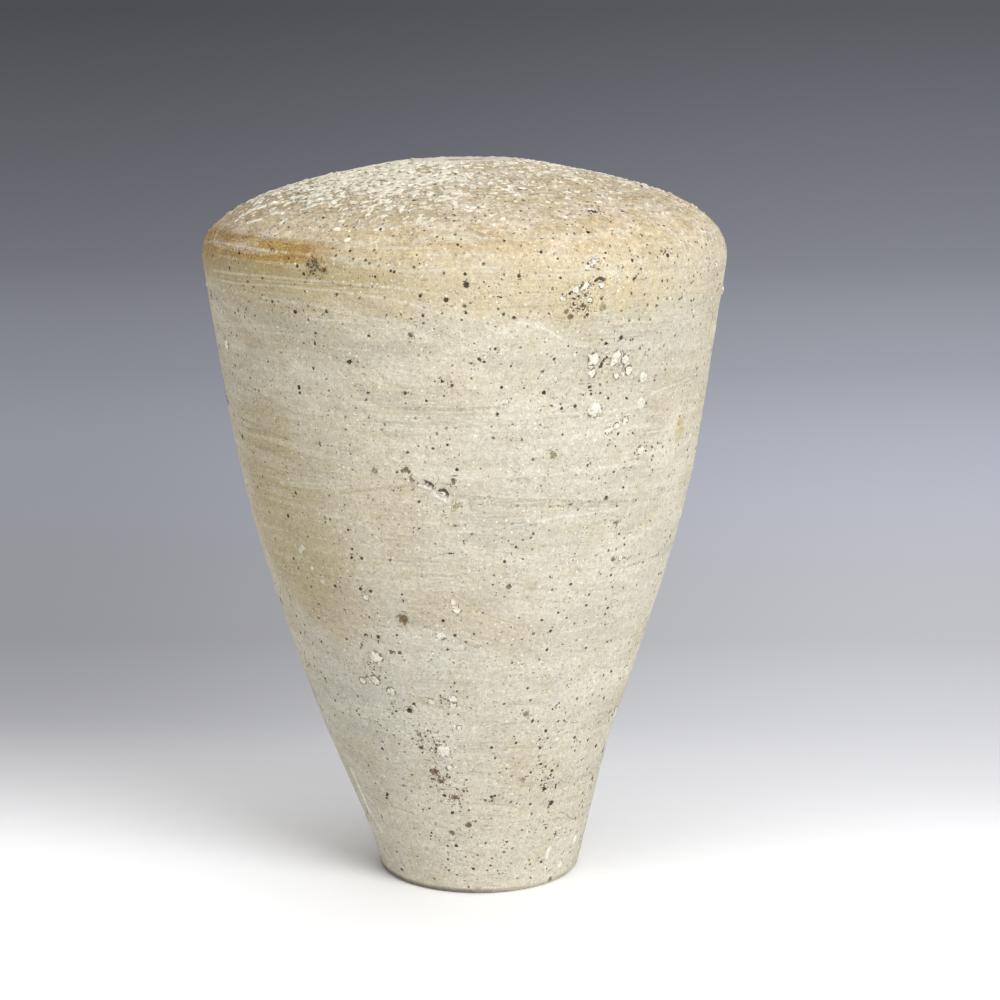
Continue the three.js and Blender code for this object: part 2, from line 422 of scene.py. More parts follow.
# Marks in the clay that stand out to the camera, by kind: column, row and radius in millimetres
FRONT_MARKS = {
    "iron": {
        "shoulder_eye": (466, 285, 1.1),
        "shoulder_eye_low": (446, 300, 0.81),
        "shoulder_left": (296, 266, 0.72),
        "shoulder_left_low": (303, 274, 0.59),
        "shoulder_middle": (541, 252, 0.64),
        "shoulder_right": (668, 255, 0.77),
        "shoulder_right_high": (588, 232, 0.77),
        "dome_left": (304, 213, 0.59),
        "dome_middle": (414, 200, 0.68),
        "dome_right": (595, 212, 0.85),
        "dome_right_tail": (589, 211, 0.59),
        "dome_far_right": (622, 211, 0.59),
        "upper_left": (295, 312, 0.77),
        "upper_left_edge": (222, 282, 0.59),
        "upper_left_pair": (248, 282, 0.59),
        "upper_left_low": (349, 362, 0.81),
        "upper_right": (621, 338, 0.89),
        "upper_right_small": (634, 279, 0.64),
        "upper_middle": (519, 276, 0.68),
        "upper_grey": (479, 359, 0.55),
        "upper_grey_right": (484, 362, 0.5),
        "crust_pit": (574, 304, 0.68),
        "crust_pit_high": (570, 294, 0.59),
        "crust_pit_left": (561, 278, 0.51),
        "crust_pit_low": (583, 309, 0.59),
        "right_pit": (589, 387, 0.59),
        "right_pit_low": (591, 394, 0.51),
        "right_pit_middle": (600, 393, 0.51),
        "right_pit_side": (608, 398, 0.51),
        "right_pit_left": (575, 406, 0.68),
        "right_pit_end": (626, 398, 0.51),
        "middle_right": (544, 393, 0.77),
        "middle_right_side": (590, 387, 0.68),
        "under_gash": (419, 502, 0.59),
        "left_dot": (348, 530, 0.59),
        "left_pair": (352, 558, 0.77),
        "left_pair_right": (362, 558, 0.68),
        "left_knot": (361, 589, 0.68),
        "left_knot_right": (371, 591, 0.68),
        "left_bar": (366, 635, 0.77),
        "left_bar_end": (378, 637, 0.77),
        "middle_dot": (455, 635, 0.59),
        "low_left": (409, 711, 1.15),
        "low_left_tail": (414, 704, 0.59),
        "low_left_dot": (382, 749, 0.68),
        "low_middle_dot": (516, 743, 0.59),
        "low_right_top": (546, 731, 0.68),
        "low_right_top_low": (548, 738, 0.6),
        "low_right_stem_high": (540, 748, 0.6),
        "low_right_stem": (541, 764, 0.59),
        "low_right_fork": (546, 767, 0.55),
        "low_right_fork_right": (552, 771, 0.6),
        "low_right_fork_low": (550, 777, 0.55),
        "low_right_fork_left": (542, 781, 0.6),
        "low_right_edge": (596, 746, 0.75),
        "low_right_edge_high": (588, 740, 0.65),
        "low_right_edge_middle": (582, 760, 0.5),
        "low_right_edge_low": (587, 769, 0.6),
        "low_right_edge_foot": (582, 807, 0.6),
        "right_hole_low": (646, 451, 0.55),
        "right_hole_end": (652, 460, 0.5),
        "right_string": (631, 466, 0.7),
        "right_string_high": (635, 463, 0.5),
        "right_string_left": (624, 468, 0.5),
        "right_string_end": (614, 472, 0.5),
        "right_dash": (658, 443, 0.55),
        "right_dash_left": (618, 434, 0.5),
        "right_dash_right": (633, 433, 0.45),
        "low_right_knot": (544, 789, 0.81),
        "low_right": (551, 803, 1.15),
        "foot_knee": (444, 796, 0.77),
        "foot_dot": (452, 813, 0.68),
        "foot_low": (456, 846, 0.81),
        "foot_right": (546, 827, 0.68),
        "foot_right_low": (555, 834, 0.68),
        "foot_edge_left": (402, 870, 0.77),
        "foot_edge_right": (541, 862, 0.68),
    },
    "rust": {
        "left_seed": (403, 619, 2.0),
        "gash_neighbour": (453, 481, 1.0),
        "granular": (406, 470, 0.9),
        "granular_right": (409, 472, 0.7),
        "granular_left": (402, 471, 0.7),
        "gash_seed": (412, 480, 0.8),
        "low_bend": (434, 772, 1.4),
        "low_bend_end": (441, 781, 1.1),
        "foot_wedge": (455, 798, 1.3),
        "foot_wedge_low": (468, 825, 1.2),
        "foot_dash": (452, 833, 1.0),
        "low_step": (421, 748, 0.9),
        "low_step_high": (419, 735, 0.9),
        "left_trio": (391, 652, 0.9),
        "left_trio_right": (400, 653, 0.8),
        "flash_smear": (323, 270, 1.1),
        "crust_foot": (584, 306, 1.2),
        "crust_left": (566, 312, 0.9),
        "crust_low": (571, 317, 0.9),
        "upper_stain": (410, 335, 1.0),
        "middle_stain": (509, 586, 0.9),
        "foot_stain": (550, 879, 0.9),
        "right_stain": (613, 559, 0.9),
    },
    "olive": {
        "middle_seed": (374, 471, 1.15),
        "low": (526, 714, 1.2),
        "low_foot": (523, 780, 1.1),
        "under_gash": (456, 507, 1.1),
        "crust_right": (603, 307, 1.2),
        "right": (617, 523, 1.0),
        "middle": (553, 455, 1.2),
    },
    "burst": {
        "left": (376, 657, 2.4),
        "left_low": (375, 680, 2.0),
        "left_low_pair": (363, 681, 1.4),
        "left_last": (391, 691, 1.6),
        "left_knot": (366, 597, 1.1),
        "middle": (457, 610, 1.2),
        "middle_high": (453, 602, 1.0),
        "middle_low": (441, 635, 1.6),
        "low": (453, 699, 1.5),
        "low_tail": (453, 705, 1.3),
        "low_streak": (431, 702, 1.3),
        "low_crumb": (459, 728, 0.9),
        "low_large": (443, 751, 2.6),
        "low_end": (450, 768, 1.2),
        "shoulder": (586, 286, 1.4),
        "shoulder_left": (576, 290, 1.2),
        "shoulder_far_left": (563, 299, 1.0),
        "shoulder_right": (602, 284, 1.3),
        "shoulder_high": (594, 262, 1.1),
        "shoulder_top": (588, 268, 0.9),
        "shoulder_low": (590, 300, 0.9),
        "right": (594, 359, 2.3),
        "right_middle": (613, 361, 1.7),
        "right_ridge": (617, 354, 1.5),
        "right_end": (625, 359, 1.7),
        "right_crumb": (628, 370, 1.6),
        "right_small": (592, 373, 1.5),
        "right_ring": (616, 376, 1.2),
        "right_round": (594, 409, 2.6),
        "right_low": (641, 450, 1.8),
        "right_slash": (608, 431, 1.4),
        "right_slash_middle": (616, 426, 1.2),
        "right_slash_end": (625, 420, 1.2),
        "right_last": (620, 558, 1.0),
    },
    "lime": {
        "right_round": (641, 403, 2.1),
        "right_pink": (643, 377, 2.0),
        "middle": (475, 437, 0.8),
        "low_right": (557, 739, 1.1),
        "foot_flake_left": (557, 838, 1.0),
        "left_chip": (303, 547, 1.2),
        "left_chip_tail": (300, 551, 1.0),
        "left_chip_low": (312, 568, 1.0),
        "left_chip_last": (323, 581, 1.0),
        "right_edge_low": (669, 533, 0.7),
    },
}

# Lines on the clay, by kind, as columns and rows along each: edges and runs of slip, wheel lines, scratches,
# flakes of ash, and tears and a crevice darkened with painted shade, with a painted shadow beside a crust
MARK_LINES = {
    "slip_line": {
        "below_shoulder": [(214, 270), (265, 276), (331, 282), (398, 288), (440, 294)],
        "below_shoulder_end": [(398, 302), (419, 306), (441, 314)],
        "upper_left": [(310, 319), (355, 322), (372, 328)],
        "second_left": [(222, 281), (285, 286), (345, 292), (400, 301)],
        "third_left": [(262, 297), (318, 306), (352, 315)],
        "upper_sag": [(332, 300), (346, 311), (366, 318), (392, 322)],
        "right_sag": [(640, 398), (664, 388), (690, 378)],
        "shoulder_joint": [(214, 241), (232, 245), (262, 250), (290, 253)],
        "low_sweep": [(440, 533), (500, 528), (560, 517), (620, 508)],
    },
    "slip_edge": {
        "upper_right": [(515, 322), (528, 324), (541, 327), (548, 331), (555, 335), (562, 338)],
        "left_knuckle": [(337, 514), (341, 517), (346, 518)],
        "right_knuckle": [(426, 520), (430, 523), (435, 524)],
        "shoulder_right": [(686, 219), (694, 225), (702, 231), (710, 233), (716, 229)],
        "shoulder_right_end": [(720, 234), (722, 239), (723, 245)],
        "middle": [(389, 456), (397, 461), (405, 462)],
        "right_low": [(693, 457), (691, 465)],
    },
    "slip_band": {
        "left": [(253, 366), (312, 377), (345, 384)],
        "middle": [(300, 410), (370, 417), (440, 420), (520, 417), (640, 408)],
        "middle_left": [(239, 427), (262, 436), (293, 446), (343, 462), (372, 468)],
        "middle_left_low": [(282, 482), (312, 486), (345, 487)],
        "middle_left_last": [(318, 511), (343, 517)],
        "middle_second": [(352, 427), (430, 431), (520, 428)],
        "middle_third": [(520, 446), (570, 438), (650, 424)],
        "right": [(575, 470), (610, 468), (640, 462)],
        "upper_right": [(572, 342), (586, 345), (600, 349)],
    },
    "drip": {
        "left_edge": [(351, 768), (358, 784), (366, 803), (371, 813), (377, 823), (383, 833)],
    },
    "wheel_line": {
        "ring_left": [(341, 493), (380, 489), (413, 485)],
        "ring_right": [(457, 496), (515, 500), (546, 500), (630, 501)],
        "ring_right_low": [(470, 503), (540, 506), (600, 506)],
        "upper_ring": [(249, 428), (270, 432), (289, 439)],
        "middle_drag": [(398, 408), (450, 410), (500, 407)],
        "middle_drag_right": [(548, 417), (580, 416), (612, 410)],
        "shoulder_joint": [(222, 236), (262, 238), (300, 241), (340, 244)],
    },
    "scratch": {
        "foot_crack": [(559, 812), (564, 813), (570, 818), (576, 820)],
        "foot_scratch": [(391, 806), (403, 810), (415, 814)],
        "rust_crack": [(457, 790), (465, 788), (473, 786)],
    },
    "torn_slip": {
        "gash": [(418, 485), (425, 487), (431, 490), (435, 495), (441, 499), (447, 501)],
    },
    "ash_flake": {
        "left_long": [(248, 223), (255, 221), (262, 219)],
        "left_bright": [(272, 214), (278, 213), (284, 213)],
        "left_upright": [(281, 223), (286, 219)],
        "left_high": [(254, 211), (266, 206)],
        "left_edge": [(241, 217), (248, 214)],
        "left_crumb": [(237, 221), (239, 219)],
        "left_top": [(274, 204), (284, 202)],
        "crown_left": [(292, 199), (304, 196)],
        "crown_left_high": [(305, 192), (321, 188)],
        "crown_left_low": [(309, 207), (318, 204)],
        "crown_left_middle": [(321, 200), (332, 199)],
        "dome_low": [(346, 216), (350, 214)],
        "dome_low_right": [(364, 210), (369, 209)],
        "crown_patch": [(338, 186), (352, 184)],
        "crown_dash": [(352, 191), (359, 190)],
        "foot_right": [(575, 836), (574, 840), (573, 843)],
        "foot_right_left": [(549, 848), (547, 853), (546, 858)],
        "foot_right_low": [(559, 863), (560, 866)],
    },
    # Painted shade in the hollows of the gash and of a crevice in a crust, and a painted shadow beside a
    # crust
    "tear": {
        "gash_top": [(426, 482), (430, 484), (434, 487)],
        "gash_eye": [(440, 491), (444, 490), (447, 493), (448, 497)],
        "crust_crevice": [(596, 281), (600, 278), (605, 280)],
        "crust_shadow": [(600, 367), (604, 360), (609, 356)],
    },
}
LINE_STEP = 0.5 * MM

# For each kind of mark: its tint, how strongly it covers, how dark a crack runs round it, its depth for its
# radius, and how ragged its edge is
MARK_KINDS = {
    "iron": ((0.06, 0.042, 0.022), 0.94, 0.0, 0.55, 0.9),
    "rust": ((0.2, 0.13, 0.055), 0.85, 0.6, 0.4, 1.4),
    "olive": ((0.25, 0.21, 0.08), 0.75, 0.3, 0.1, 1.1),
    "burst": ((0.88, 0.84, 0.71), 0.95, 1.0, -0.22, 0.9),
    "lime": ((0.86, 0.82, 0.69), 0.9, 0.25, -0.15, 0.9),
    "slip_line": ((0.86, 0.82, 0.71), 0.38, 0.0, -0.35, 0.35),
    "slip_edge": ((0.88, 0.84, 0.72), 0.5, 0.0, -0.45, 0.7),
    "slip_band": ((0.82, 0.78, 0.66), 0.34, 0.0, -0.12, 0.35),
    "drip": ((0.95, 0.92, 0.8), 0.95, 0.0, -0.45, 0.35),
    "ash_flake": ((0.99, 0.95, 0.81), 0.95, 0.0, -0.3, 0.5),
    "wheel_line": ((0.36, 0.31, 0.2), 0.32, 0.0, 0.25, 0.35),
    "scratch": ((0.28, 0.24, 0.16), 0.42, 0.0, 0.5, 0.4),
    "torn_slip": ((0.86, 0.82, 0.71), 0.75, 0.6, -0.75, 0.9),
    # The tint of the shaded tears is painted shade
    "tear": ((0.08, 0.055, 0.03), 0.9, 0.0, 1.0, 0.9),
}
LINE_RADII = {
    "slip_line": 0.5,
    "slip_edge": 0.5,
    "slip_band": 1.1,
    "drip": 0.8,
    "ash_flake": 1.05,
    "wheel_line": 0.6,
    "scratch": 0.32,
    "torn_slip": 0.75,
    "tear": 0.6,
}

# Further marks in places chosen by a fixed seed: how many, and between which radii, small ones being the
# commonest. The larger kinds keep clear of the side that the camera sees, which has its own.
MARK_SEED = 11
SIZE_SKEW = 3
SMALL_MARKS = {"iron": (1900, 0.2, 0.7)}
LARGE_MARKS = {
    "iron": (90, 0.55, 1.4),
    "rust": (70, 0.7, 2.2),
    "olive": (24, 0.8, 1.7),
    "burst": (76, 1.0, 2.8),
    "lime": (60, 0.8, 2.3),
}
SEEN_ANGLE = math.radians(65)

# How many of its radii a large front mark keeps free round itself, and the lines that may still cross it
MARK_CLEARANCE = 2.2
CROSSING_LINES = ("tear", "torn_slip")


def along_line(points):
    """Points on the jar, one step apart, along a line of pixels."""
    places = [seen_at(*point) for point in points]
    for start, end in zip(places, places[1:]):
        steps = max(1, round((end - start).length / LINE_STEP))
        for i in range(steps):
            angle, _, level = straightened(start.lerp(end, i / steps))
            yield on_jar(angle, level)


def scattered(chance, count, free_angle):
    """Points on the outer face, spread by area, that keep clear of an angle to each side of the camera's."""
    for _ in range(count):
        level = chance.uniform(LOWEST_MARK, CROWN_LEVEL)
        while chance.random() * SHOULDER_RADIUS > outer_radius(level):
            level = chance.uniform(LOWEST_MARK, CROWN_LEVEL)
        turn = chance.uniform(free_angle, math.tau - free_angle)
        yield on_jar(turn - math.pi / 2, level)


def all_marks():
    """Every mark as its kind, its place and its radius.

    Lines and scattered marks keep clear of the large front marks.
    """
    large = []
    for kind, marks in FRONT_MARKS.items():
        for column, row, size in marks.values():
            place = seen_at(column, row)
            yield kind, place, size * MM
            if kind != "iron":
                large.append((place, MARK_CLEARANCE * size * MM))

    def is_free(place):
        return all((place - other).length > gap for other, gap in large)

    for kind, lines in MARK_LINES.items():
        for points in lines.values():
            for place in along_line(points):
                if is_free(place) or kind in CROSSING_LINES:
                    yield kind, place, LINE_RADII[kind] * MM
    chance = random.Random(MARK_SEED)
    for marks, free_angle in ((SMALL_MARKS, 0.0), (LARGE_MARKS, SEEN_ANGLE)):
        for kind, (count, least, most) in marks.items():
            for place in scattered(chance, count, free_angle):
                if is_free(place):
                    share = chance.random() ** SIZE_SKEW
                    yield kind, place, (least + (most - least) * share) * MM


# Crusts of grit that stand on the wall: column, row, reach in millimetres, grains, and their brown share
CRUSTS = {
    "shoulder": (592, 263, 4.0, 50, 0.3),
    "shoulder_middle": (588, 287, 3.5, 50, 0.35),
    "shoulder_low": (580, 301, 4.5, 90, 0.65),
    "right": (607, 362, 5.5, 90, 0.4),
    "right_low": (612, 395, 7.0, 50, 0.5),
    "right_edge": (640, 452, 4.0, 20, 0.4),
    "left": (372, 668, 5.5, 60, 0.35),
    "left_high": (386, 626, 4.0, 26, 0.25),
    "left_knot": (366, 590, 3.0, 22, 0.75),
    "middle": (455, 606, 3.0, 24, 0.3),
    "low_middle": (448, 702, 4.0, 34, 0.4),
    "low_left": (432, 742, 6.5, 70, 0.5),
    "low_stem": (443, 776, 4.5, 44, 0.7),
    "foot_left": (457, 800, 4.5, 34, 0.7),
    "low_right": (544, 780, 5.0, 70, 0.3),
    "foot_right": (555, 834, 5.0, 40, 0.5),
    "foot_edge": (562, 856, 5.5, 34, 0.1),
    "foot_middle": (505, 862, 8.0, 34, 0.4),
    "dome": (597, 210, 3.0, 20, 0.8),
    "flash": (314, 267, 3.6, 44, 0.95),
    "dome_edge": (668, 254, 3.0, 16, 0.7),
}

# Further crusts on the side that the camera doesn't see: how many, their reach and their grains
CRUST_SEED = 5
FAR_CRUSTS = 22
FAR_REACH = (3, 6)
FAR_GRAINS = (20, 50)

# The grains: how closely they gather, their radii in millimetres, their breadth and height for their length,
# and their tints
GRAIN_SPREAD = 0.5
GRAIN_RADII = (0.16, 0.52)
GRAIN_BREADTH = (0.5, 1.0)
GRAIN_HEIGHT = 0.55
GRAIN_PALE = (0.87, 0.82, 0.7)
GRAIN_BROWN = (0.17, 0.115, 0.055)
GRAIN_DIMMING = (0.75, 1.1)


def crust_points():
    """A mesh of loose points, one for each grain, with its outward direction, its size and its tint."""
    chance = random.Random(CRUST_SEED)
    beds = [(seen_at(column, row), *rest) for column, row, *rest in CRUSTS.values()]
    for place in scattered(chance, FAR_CRUSTS, SEEN_ANGLE):
        beds.append((place, chance.uniform(*FAR_REACH), chance.randint(*FAR_GRAINS), chance.random()))
    places = []
    normals = []
    sizes = []
    tints = []
    for centre, reach, count, brown in beds:
        for _ in range(count):
            shift = Vector(chance.gauss(0, GRAIN_SPREAD * reach * MM) for _ in range(3))
            angle, _, level = straightened(centre + shift)
            place = on_jar(angle, min(max(level, LOWEST_GRAIN), CROWN_LEVEL))
            beside = on_jar(angle + 0.01, place.z) - place
            above = on_jar(angle, place.z + MM) - place
            tint = GRAIN_BROWN if chance.random() < brown else GRAIN_PALE
            dim = chance.uniform(*GRAIN_DIMMING)
            breadth = chance.uniform(*GRAIN_BREADTH)
            places.append(place)
            normals.extend(beside.cross(above).normalized())
            sizes.extend(chance.uniform(*GRAIN_RADII) * MM * share for share in (1.0, breadth, GRAIN_HEIGHT))
            tints.extend((*(dim * part for part in tint), 1.0))
    mesh = bpy.data.meshes.new("crust")
    mesh.from_pydata(places, [], [])
    carry(mesh, "outward", "FLOAT_VECTOR", normals)
    carry(mesh, "size", "FLOAT_VECTOR", sizes)
    carry(mesh, "grit_tint", "FLOAT_COLOR", tints)
    return mesh


def mark_points():
    """A mesh of loose points, one for each mark, that carries what the node tree needs of it."""
    kinds, places, sizes = zip(*all_marks())
    tints, covers, cracks, depths, edges = zip(*(MARK_KINDS[kind] for kind in kinds))
    mesh = bpy.data.meshes.new("marks")
    mesh.from_pydata(places, [], [])
    paint = [part for tint, cover in zip(tints, covers) for part in (*tint, cover)]
    carry(mesh, "radius", "FLOAT", sizes)
    carry(mesh, "tint", "FLOAT_COLOR", paint)
    carry(mesh, "crack", "FLOAT", cracks)
    carry(mesh, "depth", "FLOAT", depths)
    carry(mesh, "ragged", "FLOAT", edges)
    return in_scene("marks", mesh)


# Node trees that make the pieces, in which w is the wiring


def node_tree(name, inputs):
    tree = bpy.data.node_groups.new(name, "GeometryNodeTree")
    tree.interface.new_socket("Geometry", in_out="INPUT", socket_type="NodeSocketGeometry")
    for label, kind in inputs.items():
        tree.interface.new_socket(label, in_out="INPUT", socket_type="NodeSocket" + kind)
    tree.interface.new_socket("Geometry", in_out="OUTPUT", socket_type="NodeSocketGeometry")
    return tree


def made_by(tree, name, mesh, values):
    """A piece whose plain mesh is what a node tree makes of a starting mesh."""
    piece = in_scene(name, mesh)
    modifier = piece.modifiers.new(name, "NODES")
    modifier.node_group = tree
    sockets = {item.name: item.identifier for item in tree.interface.items_tree if item.in_out == "INPUT"}
    for label, value in values.items():
        modifier[sockets[label]] = value
    graph = bpy.context.evaluated_depsgraph_get()
    made = bpy.data.meshes.new_from_object(
        piece.evaluated_get(graph), preserve_all_data_layers=True, depsgraph=graph
    )
    piece.modifiers.clear()
    piece.data = made
    made.name = name
    return piece


class Shaping(Wiring):
    """Wiring for geometry trees."""

    def made(self, kind, inputs, **settings):
        return self.add("GeometryNode" + kind, inputs, **settings).outputs[0]

    def place(self):
        return self.add("GeometryNodeInputPosition").outputs[0]

    def named(self, name, kind="FLOAT"):
        node = self.add("GeometryNodeInputNamedAttribute", {"Name": name}, data_type=kind)
        return node.outputs["Attribute"]

    def sample(self, geometry, index, value, kind="FLOAT"):
        inputs = {"Geometry": geometry, "Value": value, "Index": index}
        return self.made("SampleIndex", inputs, data_type=kind, domain="POINT")

    def keep(self, geometry, name, value, kind="FLOAT"):
        inputs = {"Geometry": geometry, "Name": name, "Value": value}
        return self.made("StoreNamedAttribute", inputs, data_type=kind, domain="POINT")

    def random_vector(self, least, most, seed):
        inputs = {"Min": least, "Max": most, "Seed": seed}
        return self.add("FunctionNodeRandomValue", inputs, data_type="FLOAT_VECTOR").outputs["Value"]

    def turned(self, rotation, spin):
        inputs = {"Rotation": rotation, "Rotate By": spin}
        return self.add("FunctionNodeRotateRotation", inputs, rotation_space="LOCAL").outputs[0]

    def moved(self, geometry, offset):
        return self.made("SetPosition", {"Geometry": geometry, "Offset": offset})

    def lumps(self, points, rotation, size):
        """A lump on each of the points, made real so that its own points can be moved."""
        lump = self.made("MeshUVSphere", {"Segments": 6, "Rings": 4, "Radius": 1.0})
        inputs = {"Points": points, "Instance": lump, "Rotation": rotation, "Scale": size}
        return self.made("RealizeInstances", {"Geometry": self.made("InstanceOnPoints", inputs)})

    def without(self, geometry, *names):
        for name in names:
            geometry = self.made("RemoveAttribute", {"Geometry": geometry, "Name": name})
        return geometry

    def smoothed(self, geometry):
        return self.made("SetShadeSmooth", {"Geometry": geometry}, domain="FACE")

    def finish(self, geometry, material):
        geometry = self.made("RealizeInstances", {"Geometry": geometry})
        geometry = self.made("SetMaterial", {"Geometry": geometry, "Material": material})
        self.add("NodeGroupOutput", {"Geometry": geometry})


def revolved(w, line, columns):
    """A profile carried round the axis, with its share of the relief and its outward direction."""
    place = w.place()
    counts = w.add("GeometryNodeAttributeDomainSize", {"Geometry": line}, component="MESH")
    rows = counts.outputs["Point Count"]
    posts = w.math("ADD", columns, 1)
    grid = w.made("MeshGrid", {"Size X": 1.0, "Size Y": 1.0, "Vertices X": posts, "Vertices Y": rows})
    across = w.split(place)
    turn = w.times(w.plus(across["X"], 0.5), math.tau)
    row = w.math("ROUND", w.times(w.plus(across["Y"], 0.5), w.math("SUBTRACT", rows, 1)))
    cosine = w.math("COSINE", turn)
    sine = w.math("SINE", turn)

    def carried(vector):
        part = w.split(vector)
        return w.join(w.times(part["X"], cosine), w.times(part["X"], sine), part["Z"])

    grid = w.keep(grid, "skin", w.sample(line, row, w.named("skin")))
    outward = w.sample(line, row, w.named("outward", "FLOAT_VECTOR"), "FLOAT_VECTOR")
    grid = w.keep(grid, "outward", carried(outward), "FLOAT_VECTOR")
    there = carried(w.sample(line, row, place, "FLOAT_VECTOR"))
    section = w.made("SetPosition", {"Geometry": grid, "Position": there})
    return w.made("MergeByDistance", {"Geometry": section, "Distance": WELD})


def leaned(w, section):
    """A section moved on to the drifting axis, with the crown askew."""
    at = w.split(w.place())
    drift = w.plus(w.ramp(at["Z"], 0.0, FOOT_FADE, 0.0, -FOOT_OFFSET), w.times(at["Z"], -LEAN_SLOPE))
    section = w.moved(section, w.join(drift, 0.0, 0.0))
    tilt = w.times(at["X"], w.ramp(at["Z"], SHOULDER_LEVEL, CROWN_LEVEL, 0.0, CROWN_TILT))
    return w.moved(section, w.join(0.0, 0.0, tilt))


def with_marks(w, section, holder):
    """A section with the looks of the mark nearest to each point, and how deep it is there."""
    place = w.place()
    marks = w.add("GeometryNodeObjectInfo", {"Object": holder}).outputs["Geometry"]
    nearest = w.made("SampleNearest", {"Geometry": marks}, domain="POINT")

    def of_mark(name, kind="FLOAT"):
        return w.sample(marks, nearest, w.named(name, kind), kind)

    radius = of_mark("radius")
    centre = w.sample(marks, nearest, place, "FLOAT_VECTOR")
    offset = w.scaled(w.vector("SUBTRACT", place, centre), w.math("DIVIDE", 1.0, radius))
    section = w.keep(section, "mark_offset", offset, "FLOAT_VECTOR")
    section = w.keep(section, "mark_tint", of_mark("tint", "FLOAT_COLOR"), "FLOAT_COLOR")
    section = w.keep(section, "mark_crack", of_mark("crack"))
    section = w.keep(section, "mark_ragged", of_mark("ragged"))
    torn = w.times(w.centred(place, 1.7 * MM), 0.7)
    reach = w.plus(w.measure("LENGTH", w.named("mark_offset", "FLOAT_VECTOR")), torn)
    hollow = w.times(w.ramp(reach, 0.3, 1.1, 1.0, 0.0), radius, of_mark("depth"))
    return w.keep(section, "hollow", hollow)


def with_ash(w, section):
    """A section with how thickly ash lies at each point."""
    place = w.place()
    level = w.split(place)["Z"]
    flashed = w.ramp(w.facing(place, FLASH_SIDE), 0.1, 0.95, 0.0, 0.085)
    ashed = w.plus(
        w.noise(place, 2.6 * MM, 3.0, 0.62),
        w.times(w.centred(place, 15 * MM, 1.0), 0.22),
        w.ramp(level, SHOULDER_LEVEL + 10 * MM, CROWN_LEVEL, -0.185, -0.04),
        w.times(flashed, w.ramp(level, SHOULDER_LEVEL + 13 * MM, SHOULDER_LEVEL + 18 * MM)),
    )
    return w.keep(section, "ash", ashed)


def roughened(w, section, given):
    """A section with throwing rings, wobble, grit, crust and the hollows of its marks."""
    place = w.place()
    ring_place = w.stretched(place, 0.05, 1.0)
    rings = w.plus(w.centred(ring_place, 7 * MM, 1.0), w.times(w.centred(ring_place, 2.6 * MM, 1.0), 0.35))
    crust = w.ramp(w.named("ash"), 0.46, 0.6)
    lift = w.plus(
        w.times(rings, given["Ring depth"]),
        w.times(w.centred(place, 55 * MM, 1.0), given["Wobble"]),
        w.times(w.centred(place, 2.4 * MM), given["Grit"]),
        w.times(crust, given["Crust"]),
        w.times(w.named("hollow"), -1.0),
    )
    lift = w.scaled(w.named("outward", "FLOAT_VECTOR"), w.times(lift, w.named("skin")))
    return w.without(w.moved(section, lift), "skin", "outward", "hollow")


def thrown_tree():
    """Makes a section of the jar, or a piece of its closure, from a profile."""
    inputs = {
        "Columns": "Int",
        "Ring depth": "Float",
        "Wobble": "Float",
        "Grit": "Float",
        "Crust": "Float",
        "Marks": "Object",
        "Clay": "Material",
    }
    tree = node_tree("thrown_section", inputs)
    w = Shaping(tree)
    given = w.add("NodeGroupInput").outputs
    section = leaned(w, revolved(w, given["Geometry"], given["Columns"]))
    section = with_ash(w, with_marks(w, section, given["Marks"]))
    section = w.smoothed(roughened(w, section, given))
    bend = w.add("GeometryNodeInputMeshEdgeAngle").outputs["Unsigned Angle"]
    corner = w.add("FunctionNodeCompare", {0: bend, 1: SHARP_BEND}, operation="GREATER_THAN").outputs[0]
    sharp = {"Geometry": section, "Selection": corner, "Shade Smooth": False}
    w.finish(w.made("SetShadeSmooth", sharp, domain="EDGE"), given["Clay"])
    return tree


def crust_tree():
    """Stands a grain of grit on each point, turned to its outward direction."""
    tree = node_tree("crust_grains", {"Seed": "Int", "Grit": "Material"})
    w = Shaping(tree)
    given = w.add("NodeGroupInput").outputs
    outward = w.named("outward", "FLOAT_VECTOR")
    upright = w.add("FunctionNodeAlignRotationToVector", {"Vector": outward}, axis="Z").outputs[0]
    spin = w.random_vector((-0.5, -0.5, 0.0), (0.5, 0.5, math.tau), given["Seed"])
    grains = w.lumps(given["Geometry"], w.turned(upright, spin), w.named("size", "FLOAT_VECTOR"))
    w.finish(w.smoothed(w.without(grains, "outward", "size")), given["Grit"])
    return tree


def flake_share(w):
    """How thickly flakes lie at each place: most on the crown and on the side that the fire flashed."""
    place = w.place()
    high = w.ramp(w.split(place)["Z"], SHOULDER_LEVEL + 12 * MM, CROWN_LEVEL, 0.1, 1.0)
    side = w.ramp(w.facing(place, FLASH_SIDE), -0.5, 0.9, 0.12, 1.0)
    drifted = w.times(w.ramp(w.noise(place, 9 * MM, 3.0), 0.46, 0.64), side)
    upward = w.ramp(w.split(w.add("GeometryNodeInputNormal").outputs[0])["Z"], 0.3, 0.8)
    return w.times(high, drifted, upward)


def flake_turn(w, normal):
    """Flat on the face and along the wheel's turn, give or take a random angle."""
    tangent = w.vector("CROSS_PRODUCT", (0.0, 0.0, 1.0), w.place())
    flat = w.add("FunctionNodeAlignRotationToVector", {"Vector": normal}, axis="Z").outputs[0]
    inputs = {"Rotation": flat, "Vector": tangent}
    wheeled = w.add("FunctionNodeAlignRotationToVector", inputs, axis="X", pivot_axis="Z").outputs[0]
    return w.turned(wheeled, w.random_vector((-0.2, -0.2, -0.8), (0.2, 0.2, 0.8), 3))


